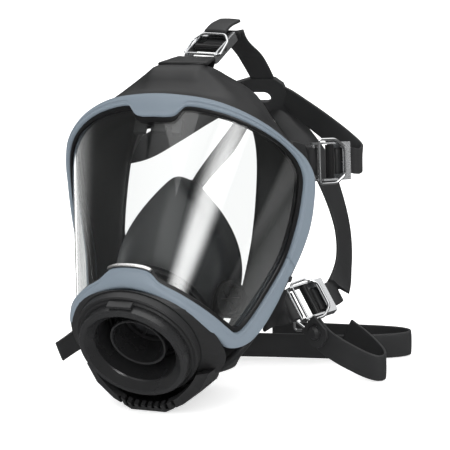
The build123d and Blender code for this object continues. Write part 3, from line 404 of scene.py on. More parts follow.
frame_n = []
for i in range(N):
    m = (inner_loop[i] + outer_loop[i]) / 2
    n0 = cone_normal(theta_of(inner_loop[i]))
    w = unit(outer_loop[i] - inner_loop[i])
    frame_n.append(unit(n0 - w * (n0 @ w)))
frame_n = np.array(frame_n)
for _ in range(3):
    frame_n = (np.roll(frame_n, 1, 0) + frame_n + np.roll(frame_n, -1, 0)) / 3
    frame_n /= np.linalg.norm(frame_n, axis=1)[:, None]


def band(i, a_mm, frac, b):
    """A point of the frame's section: a_mm from the inner edge plus frac of the width, b above the skin."""
    w = outer_loop[i] - inner_loop[i]
    width = np.linalg.norm(w)
    w = w / width
    return inner_loop[i] + w * (a_mm + frac * width) + frame_n[i] * b


SECTION = [(0.0, 0, -3.7), (-0.05, 0, -1.4), (0.2, 0, -0.55), (0.7, 0, -0.04), (1.25, 0, 0.12), (1.8, 0, 0.06), (2.4, 0, -0.08), (3.3, 0, 0.02),
           (0, 0.42, 0.42), (0, 0.62, 0.50), (-2.6, 1, 0.34), (-1.2, 1, -0.10), (-0.35, 1, -0.9), (0.0, 1, -2.1), (0.1, 1, -4.2), (0.0, 1, -6.6),
           (-0.9, 1, -7.8), (-3.0, 1, -8.0), (0, 0.5, -7.6), (2.8, 0, -6.9), (2.4, 0, -4.0)]


def frame_ring(i):
    w = outer_loop[i] - inner_loop[i]
    width = np.linalg.norm(w)
    scale = min(1.0, width / 7.5)
    return [band(i, a * scale, f, b) for a, f, b in SECTION]


zmid = np.array([((inner_loop[i] + outer_loop[i]) / 2 - D) @ np.array([0, st, ct]) for i in range(N)])
right = [i for i in range(0, len(inner_half)) if zmid[i] < -13.2][0]
left = N - right
up_idx = list(range(left, N)) + list(range(0, right + 1))
low_idx = list(range(right, left + 1))


def shifted(ring, i, j, gap):
    t = unit(outer_loop[j] - outer_loop[i])
    return [p + t * gap for p in ring]


up_rings = [frame_ring(i) for i in up_idx]
up_rings[0] = shifted(up_rings[0], up_idx[0], up_idx[1], 0.14)
up_rings[-1] = shifted(up_rings[-1], up_idx[-1], up_idx[-2], 0.14)
low_rings = [frame_ring(i) for i in low_idx]
low_rings[0] = shifted(low_rings[0], low_idx[0], low_idx[1], 0.14)
low_rings[-1] = shifted(low_rings[-1], low_idx[-1], low_idx[-2], 0.14)
upper = build("visor_frame_upper", *loft(up_rings), MAT["frame"])
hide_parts("lens_frame_upper")
lower = build("visor_frame_lower", *loft(low_rings), MAT["frame"])
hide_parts("lens_frame_lower")

# gasket: an outer bead on the lens and an inner channel lip seen through it
bead = [[band(i, a, 0, b) for a, b in ((-2.9, -3.95), (-2.95, -3.4), (-2.4, -2.75), (-0.6, -2.3), (1.6, -2.5), (2.2, -3.3), (2.2, -3.95))] for i in range(N)]
chan = [[band(i, a, 0, b) for a, b in ((-2.6, -6.75), (-3.0, -7.3), (-2.6, -8.4), (-1.2, -9.0), (3.5, -9.3), (5.0, -8.2), (5.0, -6.9), (2.5, -6.7))] for i in range(N)]
gask = build("visor_gasket", *join([loft(bead, closed=True), loft(chan, closed=True)]), MAT["gasket"])
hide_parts("lens_gasket")

# spring clip along the lower tab's edge, its ends bent outwards
low_tab = [i for i in range(N) if zmid[i] < -40 and abs(theta_of(inner_loop[i])) < 0.262]
clip = []
for i in low_tab:
    e = abs(theta_of(inner_loop[i])) / 0.262
    lift = 0.9 * max(0.0, (e - 0.8) / 0.2)
    clip.append([band(i, a - lift, 0, b) for a, b in ((-1.9, -2.3), (-2.0, 0.2), (-1.2, 0.75), (0.1, 0.65), (0.1, 0.25), (-1.1, 0.25), (-1.3, -2.3))])
clip_ob = build("lower_clip", *loft(clip), MAT["spring"], angle=40)
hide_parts("lower_spring_clip")

# visor: one conical shell, its edge inside the clamp
zs = np.array([-79.5, -76, -72, -62, -42, -18.5, 0, 14, 26, 34, 38.6])
ts = np.array([1.36, 1.53, 1.66, 1.715, 1.712, 1.665, 1.53, 1.41, 1.30, 1.20, 1.13])
NU, NV = 150, 64
sheet_o, sheet_i = [], []
for iv in range(NV + 1):
    v = iv / NV
    zz = -78.6 + v * (37.6 + 78.6)
    tm = float(np.interp(zz, zs, ts))
    ro, ri = [], []
    for iu in range(NU + 1):
        t = (2 * iu / NU - 1) * tm
        z = zz + (1 - v) ** 2 * 8.4 * (1 - float(smooth01(abs(t) / 1.1)))
        ro.append(cone(t, z, 0.0))
        ri.append(cone(t, z, -2.75))
    sheet_o.append(ro)
    sheet_i.append(ri)
verts = [p for r in sheet_o for p in r] + [p for r in sheet_i for p in r]
W = NU + 1
base = W * (NV + 1)
faces = []
for a in range(NV):
    for b in range(NU):
        q = (a * W + b, a * W + b + 1, (a + 1) * W + b + 1, (a + 1) * W + b)
        faces.append(q)
        faces.append(tuple(base + k for k in q[::-1]))
edge = [b for b in range(W)] + [a * W + NU for a in range(1, NV + 1)] + [NV * W + b for b in range(NU - 1, -1, -1)] + [a * W for a in range(NV - 1, 0, -1)]
for k in range(len(edge)):
    a, b = edge[k], edge[(k + 1) % len(edge)]
    faces.append((a, base + a, base + b, b))
visor = build("visor_lens", verts, faces, MAT["clear"], angle=50)
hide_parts("lens")

# ---------------------------------------------------------------- face blank
# half-width of the blank at each height, for depths -50, -20, 0, 20, 40 and 60
FLANK_DEPTHS = (-50, -20, 0, 20, 40, 60)
FLANK_ROWS = [
    (-90, 50.0, 39.2, 31.4, 26.6, 23.0, 21.0),
    (-75, 50.0, 42.7, 38.4, 36.2, 33.8, 30.0),
    (-60, 62.0, 55.1, 51.6, 47.9, 44.1, 39.5),
    (-45, 73.0, 65.6, 61.2, 56.6, 52.0, 47.3),
    (-30, 81.0, 73.6, 69.0, 64.4, 59.7, 55.0),
    (-15, 89.0, 81.4, 76.7, 72.0, 67.1, 61.5),
    (0, 95.0, 88.3, 82.7, 77.1, 71.5, 65.5),
    (15, 98.0, 92.3, 86.3, 80.1, 74.1, 67.8),
    (30, 98.0, 94.6, 88.2, 81.8, 75.4, 69.0),
    (45, 98.0, 93.0, 86.0, 77.4, 68.5, 60.0),
    (60, 75.0, 70.0, 72.6, 63.3, 55.0, 47.0),
    (70, 67.0, 60.0, 63.5, 54.5, 47.5, 40.0),
    (80, 58.0, 52.0, 57.9, 49.8, 41.1, 34.0),
    (88, 47.0, 41.5, 44.0, 43.8, 34.6, 27.0),
    (92, 40.0, 34.0, 36.5, 40.1, 28.4, 20.0),
    (96, 30.0, 27.0, 31.5, 31.5, 20.0, 12.0),
    (100, 24.0, 23.0, 27.4, 22.0, 14.0, 10.0),
    (104, 18.0, 18.0, 22.1, 17.0, 12.0, 10.0),
    (108, 14.0, 14.0, 16.0, 14.0, 10.0, 10.0),
]
FLANK_T = np.array(FLANK_ROWS, float)


def flank(y, z):
    col = [float(np.interp(y, FLANK_DEPTHS, r[1:])) for r in FLANK_T]
    return float(np.interp(z, FLANK_T[:, 0], col))


def drawn_in(half, inset=0.0, soft=3.0):
    """The half loop kept within the flanks, with a soft shoulder."""
    out = half.copy()
    for p in out:
        x, y, z = p - D
        lim = max(2.0, flank(y, z) - inset)
        k = soft
        h = min(max(0.5 + 0.5 * (lim - x) / k, 0.0), 1.0)
        p[0] = D[0] + max(0.0, x * h + lim * (1 - h) - k * h * (1 - h))
    out[0][0] = out[-1][0] = D[0]
    return out


RING = {
    1: [(0, -35, 92.3), (20, -33.4, 90.8), (44, -27.6, 83.9), (79, -4, 54.8), (84.4, 8.8, 22), (76, 3.2, -14), (66, -19, -42), (55.5, -44, -62.5), (36, -48.5, -77.6), (0, -42.6, -86.6)],
    2: [(0, -24, 91.3), (20, -23, 90.1), (44, -18, 84.3), (78, 3, 56), (83, 14, 22), (75.8, 9, -15), (66, -11, -44), (54, -36, -65.5), (35, -40, -79.6), (0, -34, -88)],
    3: [(0, -15.5, 92.2), (20, -14.5, 91.4), (45, -8, 87.6), (74.5, 11, 59.5), (81, 21, 23), (75.2, 16, -16), (66, -1, -46), (52.5, -25, -69), (34, -29, -82), (0, -22, -89.5)],
    4: [(0, -10.5, 106.4), (20, -10, 105.6), (46, -1, 97.2), (69.5, 19, 66), (78.6, 28, 23.5), (74.6, 24, -18), (65, 9, -48), (51, -12, -72), (33, -15, -84.4), (0, -9, -91.4)],
    5: [(0, -3.5, 108.0), (20, -3.2, 107.2), (45, 6.5, 98.7), (66.5, 25, 68.2), (76.6, 33.5, 22.5), (73.2, 30.5, -20), (63.6, 16.5, -50), (49.5, -3, -74.5), (31.5, -5, -86.4), (0, -2, -92.4)],
    6: [(0, 14, 106.6), (21, 14, 105.4), (46, 18, 95), (64.5, 32, 67), (74, 38.5, 21.5), (71.6, 35, -22), (61.5, 21.5, -51.5), (47.5, 3, -76), (30, 0, -87.2), (0, 1.5, -92.6)],
    7: [(0, 34, 98.6), (22, 34, 97), (45, 35.5, 86), (61.5, 40, 63.5), (71, 44.5, 19.8), (69, 39.5, -24), (59, 26.5, -53), (45, 9, -77), (28, 4.5, -87), (0, 5, -91.2)],
    8: [(0, 45, 91.5), (21, 45, 90), (42.5, 44.5, 80.5), (56.8, 46.5, 60), (66.6, 49.2, 18), (64.6, 43.8, -26), (55, 30.5, -54), (42, 12.5, -76.4), (26, 6.8, -85.6), (0, 6.8, -89)],
}
SIDE_COUNTS = [22] * 9
blank_rings = []


def half_from(points, counts=SIDE_COUNTS):
    p = np.array([at(*q) for q in points])
    lead, tail = p[1].copy(), p[-2].copy()
    lead[0], tail[0] = 2 * D[0] - lead[0], 2 * D[0] - tail[0]
    q = np.vstack([lead, p, tail])
    out = []
    for i in range(1, len(q) - 2):
        a, b, c, d = q[i - 1], q[i], q[i + 1], q[i + 2]
        m1 = (c - a) / (np.linalg.norm(c - b) + np.linalg.norm(b - a)) * np.linalg.norm(c - b)
        m2 = (d - b) / (np.linalg.norm(d - c) + np.linalg.norm(c - b)) * np.linalg.norm(c - b)
        for k in range(counts[i - 1]):
            t = k / counts[i - 1]
            h = (2 * t**3 - 3 * t**2 + 1) * b + (t**3 - 2 * t**2 + t) * m1 + (-2 * t**3 + 3 * t**2) * c + (t**3 - t**2) * m2
            out.append(h)
    out.append(q[-2])
    return np.array(out)


def super_half(d, hw, top, bottom, n=2.3, narrow=0.18, angles=None):
    out = []
    for a in angles:
        c, v = math.cos(a), math.sin(a)
        x = hw * abs(c) ** (2 / n) * (1 if c > 0 else -1)
        reach = top if v > 0 else bottom
        q = reach * abs(v) ** (2 / n) * (1 if v > 0 else -1)
        x *= 1 - narrow * max(0.0, -q / bottom)
        out.append(fp(x, q, d))
    return np.array(out)


outer = {k: half_from(v) for k, v in RING.items()}
for k in outer:
    if k > 1:
        outer[k] = drawn_in(outer[k], 0.9 + 0.25 * (k > 2), 4.0 if k > 2 else 2.0)
H = len(outer[1])
# angles that carry each sample of the outer rings to the seal's rings
ang = []
for p in outer[8]:
    q = p - D
    x, y, z = q[0], q[1] - 8, q[2]
    s, d = y * sa + z * ca, y * ca - z * sa
    ang.append(math.atan2(s / 88.0, max(x, 0) / 66.0))
ang = np.array(ang)
ang[0], ang[-1] = math.pi / 2, -math.pi / 2
inner_rings = [
    super_half(20, 63.0, 88.5, 86.5, angles=ang),
    super_half(12, 57.5, 88.0, 82.5, 2.8, angles=ang),
    super_half(2, 49.8, 84.6, 78.5, 3.3, angles=ang),
    super_half(-3.6, 46.0, 82.2, 76.4, 3.8, angles=ang),
    super_half(-5.4, 44.8, 81.2, 75.2, 3.8, angles=ang),
    super_half(-7.2, 45.4, 81.8, 75.6, 3.8, angles=ang),
]
inner_rings = [drawn_in(r, 1.6 + 0.6 * i, 4.0) for i, r in enumerate(inner_rings)]
# inner wall, from the opening edge out to the clamp
edge_ring = drawn_in(super_half(-8.6, 47.0, 83.6, 76.6, 3.6, angles=ang), 5.0, 4.0)
front = outer[1].copy()
under = []
for j, p in enumerate(front):
    c = D + np.array([0, 2, 8.0])
    q = p + unit(c - p) * 5.0
    under.append(q)
under = np.array(under)
wall = []
for t in (0.0, 0.12, 0.3, 0.5, 0.7, 0.86):
    mix = edge_ring * (1 - t) + under * t
    bow = 7.0 * math.sin(math.pi * t)
    for j in range(len(mix)):
        mix[j] = mix[j] + unit(mix[j] - (D + np.array([0, 10, 0]))) * bow * 0.55
    wall.append(drawn_in(mix, 4.6 - 1.4 * t, 3.0))
rings = [mirrored(r) for r in [outer[1], outer[2], outer[3], outer[4], outer[5], outer[6], outer[7], outer[8]] + inner_rings + wall + [under]]
blank = build("face_blank_body", *loft(rings, closed=True), MAT["rubber"])
sub = blank.modifiers.new("sub", "SUBSURF")
sub.levels = sub.render_levels = 1
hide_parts("face_blank", "face_seal_lip")

# ---------------------------------------------------------------- nose cup
def cup_half(d, apex, hw, bottom, tip=7.0, count=60):
    """Half outline: a blunt bridge above, straight flanks, a wide chin."""
    out = []
    mid = apex - 0.60 * (apex + bottom)
    for i in range(count + 1):
        a = math.pi / 2 - math.pi * i / count
        c, v = math.cos(a), math.sin(a)
        if v > 0:
            q = mid + (apex - mid) * v
            x = hw * c * (1 - 0.60 * v * v) + 0.35 * tip * math.sin(math.pi * v) * c ** 0.35 * v
        else:
            q = mid + (bottom + mid) * v
            x = hw * c
        out.append(fp(x, q, d))
    out[0][0] = out[-1][0] = D[0]
    return np.array(out)


cup_rows = [(-55.2, -29, 12.5, 52), (-54.0, -22.5, 17.5, 56), (-50, -11, 23.5, 60), (-45, 1, 28, 64), (-40, 13, 31.5, 68), (-36.5, 22.5, 33.6, 70.5), (-34.6, 26.6, 34.4, 71.4),
            (-31.5, 29.6, 35.6, 72.3), (-26, 31.2, 37.2, 72.8), (-17, 31.6, 38.8, 72.8), (-8.2, 31.4, 40.0, 70)]
CUP_VALVE = []
for sx in (1, -1):
    vx, vr = unit((-0.45 * sx, -0.85, 0.1)), np.array([0.89 * sx, -0.44, 0.12])
    CUP_VALVE.append((at(37.5 * sx, -25.0, -36.0), unit(vr - vx * (vr @ vx))))


def around_fittings(ring, depth):
    """Pockets for the two valve discs, and a cuff round the housing's collar."""
    out = []
    for p in ring:
        q = np.array(p, float)
        for c, n in CUP_VALVE:
            v = q - c
            h = float(v @ n)
            rad = float(np.linalg.norm(v - n * h))
            if rad < 13.0 and abs(h) < 16:
                low = -5.2 - depth
                w = float(smooth01((12.5 - rad) / 3.0))
                if h > low:
                    q = q + n * (low - h) * w
        v = q - P0
        h = float(v @ np.array([0, -cp, -sp]))
        if h > -35.4:
            q = q - np.array([0, -cp, -sp]) * (h + 35.4)
            v = q - P0
            flat = v - np.array([0, -cp, -sp]) * float(v @ np.array([0, -cp, -sp]))
            r = float(np.linalg.norm(flat))
            want = 35.2 + (0.0 if depth > 0 else 1.6)
            if r < want:
                q = q + flat / max(r, 1e-6) * (want - r)
        out.append(q)
    return out


fine_rows = [tuple(r) for r in spline(np.array(cup_rows), 46)]
outs = [around_fittings(mirrored(cup_half(*r)), 0.0) for r in fine_rows]
ins = [around_fittings(mirrored(cup_half(r[0] + 1.0, r[1] - 2.2, r[2] - 2.2, r[3] - 2.2)), 2.2) for r in fine_rows[::-1]]
cup_rings = outs + [mirrored(cup_half(-6.6, 32.2, 41.0, 70.6)), mirrored(cup_half(-5.8, 31.0, 39.6, 69.4))] + ins
cup = build("nose_cup_body", *loft(cup_rings, closed=True), MAT["cup"])
sub = cup.modifiers.new("sub", "SUBSURF")
sub.levels = sub.render_levels = 1
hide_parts("nose_cup")

# ---------------------------------------------------------------- straps
def locked(p, q, r):
    x = unit(q)
    n = np.array(r, float)
    n = unit(n - x * (n @ x))
    return at(*p), x, np.cross(n, x), n


BUCKLE = {
    "top": locked((2, 46, 114), (.22, .80, .50), (-.1, -.5, .85)),
    "temple_left": locked((78, 59, 40), (.62, .78, -.05), (.78, -.62, .1)),
    "temple_right": locked((-78, 59, 40), (-.62, .78, -.05), (-.78, -.62, .1)),
    "cheek_left": locked((64, 56, -54.3), (.55, .75, .1), (.5, -.6, .6)),
    "cheek_right": locked((-64, 56, -54.3), (-.55, .75, .1), (-.5, -.6, .6)),
}


def on_buckle(key, x, y=0.0, z=0.2):
    o, a, b, c = BUCKLE[key]
    return tuple(o + a * x + b * y + c * z - D)


def across(key, sign=1):
    return tuple(BUCKLE[key][2] * sign)


def ribbon(rows, width, thick, steps=None, crown=0.25, round_end=False):
    """A soft-edged strap through rows of centre and width direction."""
    c = np.array([r[:3] for r in rows], float)
    w = np.array([unit(r[3:6]) for r in rows])
    wd = np.array([[r[6] if len(r) > 6 else width] for r in rows], float)
    length = np.sum(np.linalg.norm(np.diff(c, axis=0), axis=1))
    n = steps or max(12, int(length / 2.2))
    q = spline(np.hstack([c, w * 8, wd]), n)
    ctr, ww, half = q[:, :3], q[:, 3:6], q[:, 6] / 2
    rings = []
    for i in range(n):
        t = unit(ctr[min(i + 1, n - 1)] - ctr[max(i - 1, 0)])
        u = unit(ww[i] - t * (ww[i] @ t))
        nn = np.cross(t, u)
        h, k = half[i], thick / 2
        if round_end:
            e = (n - 1 - i) / max(1, int(h * 1.0 / (length / n)))
            if e < 1:
                h = max(0.6, h * math.sqrt(max(0.0, 1 - (1 - e) ** 2)))
        o = at(*ctr[i])
        sec = []
        prof = [(-1, 0.45), (-0.965, 0.85), (-0.9, 1.0), (-0.45, 1.0 + crown), (0, 1.0 + crown * 1.25), (0.45, 1.0 + crown), (0.9, 1.0), (0.965, 0.85), (1, 0.45)]
        for a, b in prof:
            sec.append(o + u * h * a + nn * k * b)
        for a, b in prof[::-1]:
            sec.append(o + u * h * a - nn * k * min(b, 1.0))
        rings.append(sec)
    return loft(rings)


PC, PB = (14.0, 104.0, 80.0), (0.0, -0.55, 0.835)


def on_plate(a, b):
    return (PC[0] + a, PC[1] + PB[1] * b, PC[2] + PB[2] * b)


HARNESS = {
    "harness_top_strap": [on_plate(4.5, 7) + (1, 0, 0, 19), on_plate(5, 12) + (1, 0, 0), (14, 88, 106, .98, .1, -.1), (10.5, 76, 115.5, .96, .1, -.15),
                          on_buckle("top", 20) + across("top"), on_buckle("top", 4.6) + across("top")],
    "harness_temple_strap_left": [on_plate(11, -3) + (.35, -.5, .78, 20), on_plate(17, -3) + (.35, -.5, .78), (46, 107, 67, .45, -.3, .8),
                                  (66, 111, 51, .5, -.1, .82), (79, 111, 40, .25, .1, .96), (86, 105, 36, .0, .1, 1),
                                  (88.5, 94, 35.5, 0, .05, 1), (89, 83, 37, 0, 0, 1),
                                  on_buckle("temple_left", 16.0) + across("temple_left"), on_buckle("temple_left", 4.6) + across("temple_left")],
    "harness_temple_strap_right": [on_plate(-11, -3) + (-.35, -.5, .78, 20), on_plate(-17, -3) + (-.35, -.5, .78), (-24, 98, 67, -.42, -.25, .85),
                                   (-46, 90, 53.5, -.40, -.2, .88), (-66, 83, 42.5, -.2, -.1, .97), (-80, 76, 39.5, -.05, 0, 1),
                                   on_buckle("temple_right", 16.0) + across("temple_right", -1), on_buckle("temple_right", 4.6) + across("temple_right", -1)],
    "harness_lower_strap_left": [on_plate(9, -10) + (.8, .35, -.45, 19), on_plate(12, -14) + (.8, .35, -.45), (36, 113, 54, .82, .3, -.3), (52, 113, 34, .7, .45, -.2),
                                 (64, 110, 10, .5, .8, -.1), (73, 103, -14, .25, .95, .05), (77, 92, -34, .2, .95, .2), (77, 78, -49, .25, .8, .5),
                                 on_buckle("cheek_left", 15.5) + across("cheek_left"), on_buckle("cheek_left", 4.6) + across("cheek_left")],
    "harness_lower_strap_right": [on_plate(-7, -10) + (.8, -.3, .45, 19), on_plate(-10, -14) + (.8, -.3, .45), (-10, 105, 44, .83, -.1, .5), (-28, 101, 22, .8, -.2, .5),
                                  (-48, 95, -6, .7, -.45, .5), (-66, 86, -32, .5, -.7, .5), (-75, 76, -50, .2, -.8, .5),
                                  on_buckle("cheek_right", 15.5) + across("cheek_right"), on_buckle("cheek_right", 4.6) + across("cheek_right")],
}
for name, rows in HARNESS.items():
    ob = build(name + "_soft", *ribbon(rows, 17.0, 2.0), MAT["strap"])
    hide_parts(name)
TABS = {
    "top": [(0, 4, 107.5, 1, 0, 0, 34), (0, 14, 108.5, 1, 0, 0, 31), (0, 26, 109.2, 1, 0, 0, 26), on_buckle("top", -22, 0, -2.2) + across("top") + (20,), on_buckle("top", -10.2, 0, 0) + across("top") + (19,)],
    "temple_left": [(62, 30, 42, -.2, 0, 1, 30), (68, 44, 40, -.1, 0, 1, 24), on_buckle("temple_left", -16, 0, 0) + across("temple_left") + (20,), on_buckle("temple_left", -10.2, 0, 0) + across("temple_left") + (19,)],
    "temple_right": [(-62, 30, 42, .2, 0, -1, 30), (-68, 44, 40, .1, 0, -1, 24), on_buckle("temple_right", -16, 0, 0) + across("temple_right") + (20,), on_buckle("temple_right", -10.2, 0, 0) + across("temple_right") + (19,)],
    "cheek_left": [(49, 14, -52, 0, -.4, .9, 28), (54, 30, -53, .05, -.5, .85, 24), on_buckle("cheek_left", -18, 0, -1) + across("cheek_left", -1) + (20,), on_buckle("cheek_left", -10.2, 0, 0) + across("cheek_left", -1) + (19,)],
    "cheek_right": [(-49, 14, -52, 0, -.4, .9, 28), (-54, 30, -53, -.05, -.5, .85, 24), on_buckle("cheek_right", -18, 0, -1) + across("cheek_right") + (20,), on_buckle("cheek_right", -10.2, 0, 0) + across("cheek_right") + (19,)],
}
for key, rows in TABS.items():
    if key.startswith("cheek"):
        rows = [r[:3] + tuple(-c for c in r[3:6]) + r[6:] if i < 2 else r for i, r in enumerate(rows)]
    ob = build("strap_tab_" + key + "_soft", *ribbon(rows, 20.0, 2.8), MAT["rubber"])
    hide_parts("strap_tab_" + key)
ob = build("top_strap_end_soft", *ribbon([on_buckle("top", 10.0, 0, 6.8) + across("top"), on_buckle("top", 18.0, 0, 6.6) + across("top"),
                                          on_buckle("top", 28.0, 0, 3.6) + across("top")], 17.0, 2.2, round_end=False), MAT["strap"])
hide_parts("top_strap_end")

LONG = [(-72, 62, -74), (-66, 62, -83), (-54, 62, -90.0), (-30, 62, -90.4), (0, 64, -90.4), (30, 70, -90.4), (58, 75, -90.4), (84, 80, -90.4), (104, 88, -90.4),
        (116, 95.5, -90.4), (120.0, 101.5, -90.4), (118.5, 107, -90.4), (112, 110.3, -90.4), (98, 111, -90.4), (74, 108.5, -90.4), (44, 105.5, -90.4), (20, 103, -90.4)]
ob = build("neck_strap_long_soft", *ribbon([p + (0, 0, 1) for p in LONG], 16.8, 2.0), MAT["strap"])
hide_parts("neck_strap_long")
LOOP = [(71.2, 40.4, -66.6, .59, -.19, .71), (80.5, 36.6, -75.0, .5, -.1, .8), (90, 34.6, -80.2, .3, 0, .95), (101, 33.4, -85.0, .12, .0, 1), (111, 32.8, -88.6, .05, 0, 1),
        (117.5, 34.0, -90.2, 0, 0, 1), (120.0, 38, -90.3, 0, 0, 1), (118.6, 43, -89.2, 0, 0, 1), (110, 50, -84, .1, 0, 1), (99, 55.5, -78, .15, 0, 1), (89, 59, -73, .2, 0, 1)]
ob = build("neck_strap_loop_soft", *ribbon(LOOP, 16.8, 2.0), MAT["strap"])
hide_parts("neck_strap_loop")
ob = build("neck_strap_end_soft", *ribbon([(-70, 40.2, -68.5, .25, .1, 1), (-83, 34.5, -75.5, .25, .1, 1), (-94, 25.5, -83.2, .22, .05, 1), (-103, 13, -90.2, .22, 0, 1)], 16.0, 2.0), MAT["strap"])
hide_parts("neck_strap_end")

# ---------------------------------------------------------------- buckle loops
def fillet_path(pts, radii, steps=8):
    """Closed path through pts with its corners rounded."""
    out = []
    n = len(pts)
    for i in range(n):
        p, a, b = np.array(pts[i], float), np.array(pts[i - 1], float), np.array(pts[(i + 1) % n], float)
        u, v = unit(a - p), unit(b - p)
        ang_ = math.acos(max(-1, min(1, float(u @ v))))
        if radii[i] <= 0 or ang_ > 3.1:
            out.append(p)
            continue
        r = radii[i]
        t = r / math.tan(ang_ / 2)
        c = p + unit(u + v) * (r / math.sin(ang_ / 2))
        s0, s1 = p + u * t - c, p + v * t - c
        for k in range(steps + 1):
            w = k / steps
            q = s0 * (1 - w) + s1 * w
            out.append(c + q / np.linalg.norm(q) * r)
    return out


LOOP_PATH = [(0, -14.4), (11.5, -14.4), (18.0, -9.0), (18.0, 9.0), (11.5, 14.4), (0, 14.4)]
LOOP_R = [1.7, 5.5, 5.5, 5.5, 5.5, 1.7]
slope = math.atan(0.2)
for key in BUCKLE:
    o, a, b, c = BUCKLE[key]
    pts = [o + a * (-9 + u * math.cos(slope)) + b * v + c * (2.6 + u * math.sin(slope)) for u, v in fillet_path(LOOP_PATH, LOOP_R)]
    dense = spline(pts, 150, closed=True, sub=6)
    ob = build("wire_loop_" + key, *tube(dense, 0.93, sides=14, closed=True), MAT["wire"], body="buckle_loop_" + key)
    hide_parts("buckle_loop_" + key)

# ---------------------------------------------------------------- stage, light, camera
floor_mat = material("studio_floor", (0.86, 0.86, 0.86), 0.75, spec=0.1, bump=0.0, vary=0.01, rough_vary=0.02)
prof = [(-3.0, 0.0)] + [(1.4 + 1.2 * math.sin(a), 1.2 - 1.2 * math.cos(a)) for a in np.linspace(0, math.pi / 2, 24)] + [(2.6, 4.0)]
fv, ff = [], []
for i, (y, z) in enumerate(prof):
    fv += [(-4000, y * 1000, z * 1000 - 0.4), (4000, y * 1000, z * 1000 - 0.4)]
for i in range(len(prof) - 1):
    ff.append((2 * i, 2 * i + 1, 2 * i + 3, 2 * i + 2))
me = bpy.data.meshes.new("studio_sweep")
me.from_pydata([tuple(c / 1000 for c in v) for v in fv], [], ff)
for p in me.polygons:
    p.use_smooth = True
fb = floor_mat.node_tree.nodes["Principled BSDF"]
fb.inputs["Emission Color"].default_value = (1, 1, 1, 1)
fb.inputs["Emission Strength"].default_value = 0.60
floor = bpy.data.objects.new("studio_sweep", me)
bpy.context.scene.collection.objects.link(floor)
me.materials.append(floor_mat)

world = bpy.data.worlds.new("studio")
bpy.context.scene.world = world
world.use_nodes = True
wn, wl = world.node_tree.nodes, world.node_tree.links
bg = wn["Background"]
bg.inputs["Color"].default_value = (1, 1, 1, 1)
bg.inputs["Strength"].default_value = 1.0
wtc = wn.new("ShaderNodeTexCoord")
wsep = wn.new("ShaderNodeSeparateXYZ")
wl.new(wtc.outputs["Generated"], wsep.inputs["Vector"])


def wramp(out, lo, hi, a, b):
    r = wn.new("ShaderNodeMapRange")
    r.interpolation_type = "SMOOTHSTEP"
    r.inputs["From Min"].default_value, r.inputs["From Max"].default_value = lo, hi
    r.inputs["To Min"].default_value, r.inputs["To Max"].default_value = a, b
    wl.new(out, r.inputs["Value"])
    return r.outputs["Result"]


def wmath(op, a, b):
    m = wn.new("ShaderNodeMath")
    m.operation = op
    for i, v in enumerate((a, b)):
        if isinstance(v, (int, float)):
            m.inputs[i].default_value = v
        else:
            wl.new(v, m.inputs[i])
    return m.outputs[0]


room = wmath("ADD", wmath("ADD", wramp(wsep.outputs["Z"], 0.55, 0.85, 0.0, 1.3), wramp(wsep.outputs["Y"], 0.70, 0.95, 0.0, 0.05)), 0.12)
wlp = wn.new("ShaderNodeLightPath")
# what is seen through the visor stays white; what leaves it towards the front meets the dark room
through = wmath("MULTIPLY", wlp.outputs["Is Transmission Ray"], wramp(wsep.outputs["Y"], 0.10, 0.45, 0.0, 1.0))
gloss = wmath("MULTIPLY", wlp.outputs["Is Glossy Ray"], wmath("SUBTRACT", 1.0, through))
wmix = wn.new("ShaderNodeMix")
wmix.data_type = "FLOAT"
wl.new(gloss, wmix.inputs["Factor"])
wmix.inputs["A"].default_value = 1.05
wl.new(room, wmix.inputs["B"])
wl.new(wmix.outputs["Result"], bg.inputs["Strength"])
bpy.context.scene.view_settings.view_transform = "Standard"
floor.visible_glossy = False
floor.visible_transmission = False


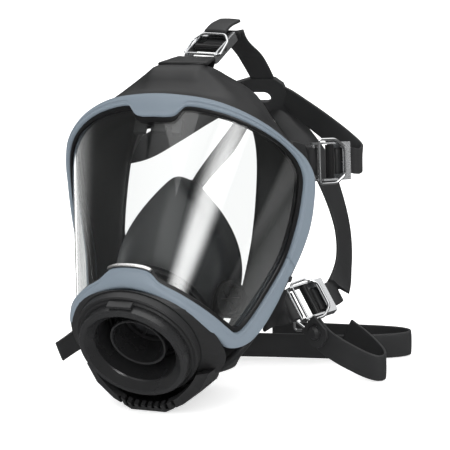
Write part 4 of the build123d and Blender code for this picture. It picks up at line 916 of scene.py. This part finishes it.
def softbox(name, az, el, dist, w, h, radiance, target=(0.0, -0.02, 0.10), roll=0.0, edge=0.35):
    """A panel seen only in reflections, brightest in the middle and fading to its edges."""
    a, e = math.radians(az), math.radians(el)
    d = Vector((math.sin(a) * math.cos(e), -math.cos(a) * math.cos(e), math.sin(e)))
    me = bpy.data.meshes.new(name)
    me.from_pydata([(-w / 2, -h / 2, 0), (w / 2, -h / 2, 0), (w / 2, h / 2, 0), (-w / 2, h / 2, 0)], [], [(0, 1, 2, 3)])
    ob = bpy.data.objects.new(name, me)
    m = bpy.data.materials.new(name)
    m.use_nodes = True
    n, l = m.node_tree.nodes, m.node_tree.links
    n.remove(n["Principled BSDF"])
    em = n.new("ShaderNodeEmission")
    tc = n.new("ShaderNodeTexCoord")
    sp_ = n.new("ShaderNodeSeparateXYZ")
    l.new(tc.outputs["Object"], sp_.inputs["Vector"])
    outs_ = []
    for axis, half in (("X", w / 2), ("Y", h / 2)):
        ab = n.new("ShaderNodeMath")
        ab.operation = "ABSOLUTE"
        l.new(sp_.outputs[axis], ab.inputs[0])
        mr = n.new("ShaderNodeMapRange")
        mr.interpolation_type = "SMOOTHSTEP"
        mr.inputs["From Min"].default_value, mr.inputs["From Max"].default_value = half * (1 - 2 * edge), half
        mr.inputs["To Min"].default_value, mr.inputs["To Max"].default_value = 1.0, 0.0
        l.new(ab.outputs[0], mr.inputs["Value"])
        outs_.append(mr.outputs["Result"])
    mu = n.new("ShaderNodeMath")
    mu.operation = "MULTIPLY"
    l.new(outs_[0], mu.inputs[0])
    l.new(outs_[1], mu.inputs[1])
    mk = n.new("ShaderNodeMath")
    mk.operation = "MULTIPLY"
    mk.inputs[1].default_value = radiance
    l.new(mu.outputs[0], mk.inputs[0])
    l.new(mk.outputs[0], em.inputs["Strength"])
    l.new(em.outputs["Emission"], n["Material Output"].inputs["Surface"])
    me.materials.append(m)
    q = d.to_track_quat("Z", "Y")
    ob.rotation_euler = (q.to_matrix() @ Matrix.Rotation(math.radians(roll), 3, "Z")).to_euler()
    ob.location = Vector(target) + d * dist
    bpy.context.scene.collection.objects.link(ob)
    ob.visible_camera = ob.visible_diffuse = ob.visible_shadow = ob.visible_volume_scatter = False
    ob.visible_transmission = abs(az) < 80
    return ob


def area(name, az, el, dist, w, h, radiance, only_gloss=False, target=(0.0, -0.02, 0.10), spread=None):
    a, e = math.radians(az), math.radians(el)
    d = Vector((math.sin(a) * math.cos(e), -math.cos(a) * math.cos(e), math.sin(e)))
    data = bpy.data.lights.new(name, "AREA")
    data.shape = "RECTANGLE"
    data.size, data.size_y = w, h
    data.energy = radiance * math.pi * w * h
    ob = bpy.data.objects.new(name, data)
    ob.location = Vector(target) + d * dist
    ob.rotation_euler = d.to_track_quat("Z", "Y").to_euler()
    bpy.context.scene.collection.objects.link(ob)
    if only_gloss:
        ob.visible_diffuse = False
        ob.visible_camera = False
        ob.visible_transmission = False
    return ob


area("key_top", -20, 62, 1.7, 1.5, 1.1, 1.1)
softbox("strip_right", 44.0, 28, 1.5, 0.90, 0.68, 10.5, edge=0.42)
softbox("top_left_fill", -55.0, 52, 1.6, 0.9, 0.6, 1.6, edge=0.3)
softbox("side_right", 98.0, 6, 1.5, 0.55, 0.9, 1.3, edge=0.3)
softbox("strip_left", -131.0, -5, 1.5, 0.22, 0.80, 2.2, edge=0.25)
softbox("strip_far_right", 149.0, -26, 1.5, 0.22, 0.60, 1.1, edge=0.3)

camera = bpy.data.cameras.new("camera")
camera.lens = 119.78
camera.sensor_width = 36.0
camera.clip_start = 0.05
cam = bpy.data.objects.new("camera", camera)
az, el, rl = math.radians(21.982), math.radians(10.359), math.radians(-1.609)
back = np.array([math.sin(az) * math.cos(el), -math.cos(az) * math.cos(el), math.sin(el)])
right_v = np.array([math.cos(az), math.sin(az), 0.0])
up_v = np.cross(back, right_v)
r2 = right_v * math.cos(rl) + up_v * math.sin(rl)
u2 = -right_v * math.sin(rl) + up_v * math.cos(rl)
loc = (at(27.384, 0, 6.081) + 950.0 * back) / 1000
cam.matrix_world = Matrix(((r2[0], u2[0], back[0], loc[0]), (r2[1], u2[1], back[1], loc[1]), (r2[2], u2[2], back[2], loc[2]), (0, 0, 0, 1)))
bpy.context.scene.collection.objects.link(cam)
bpy.context.scene.camera = cam
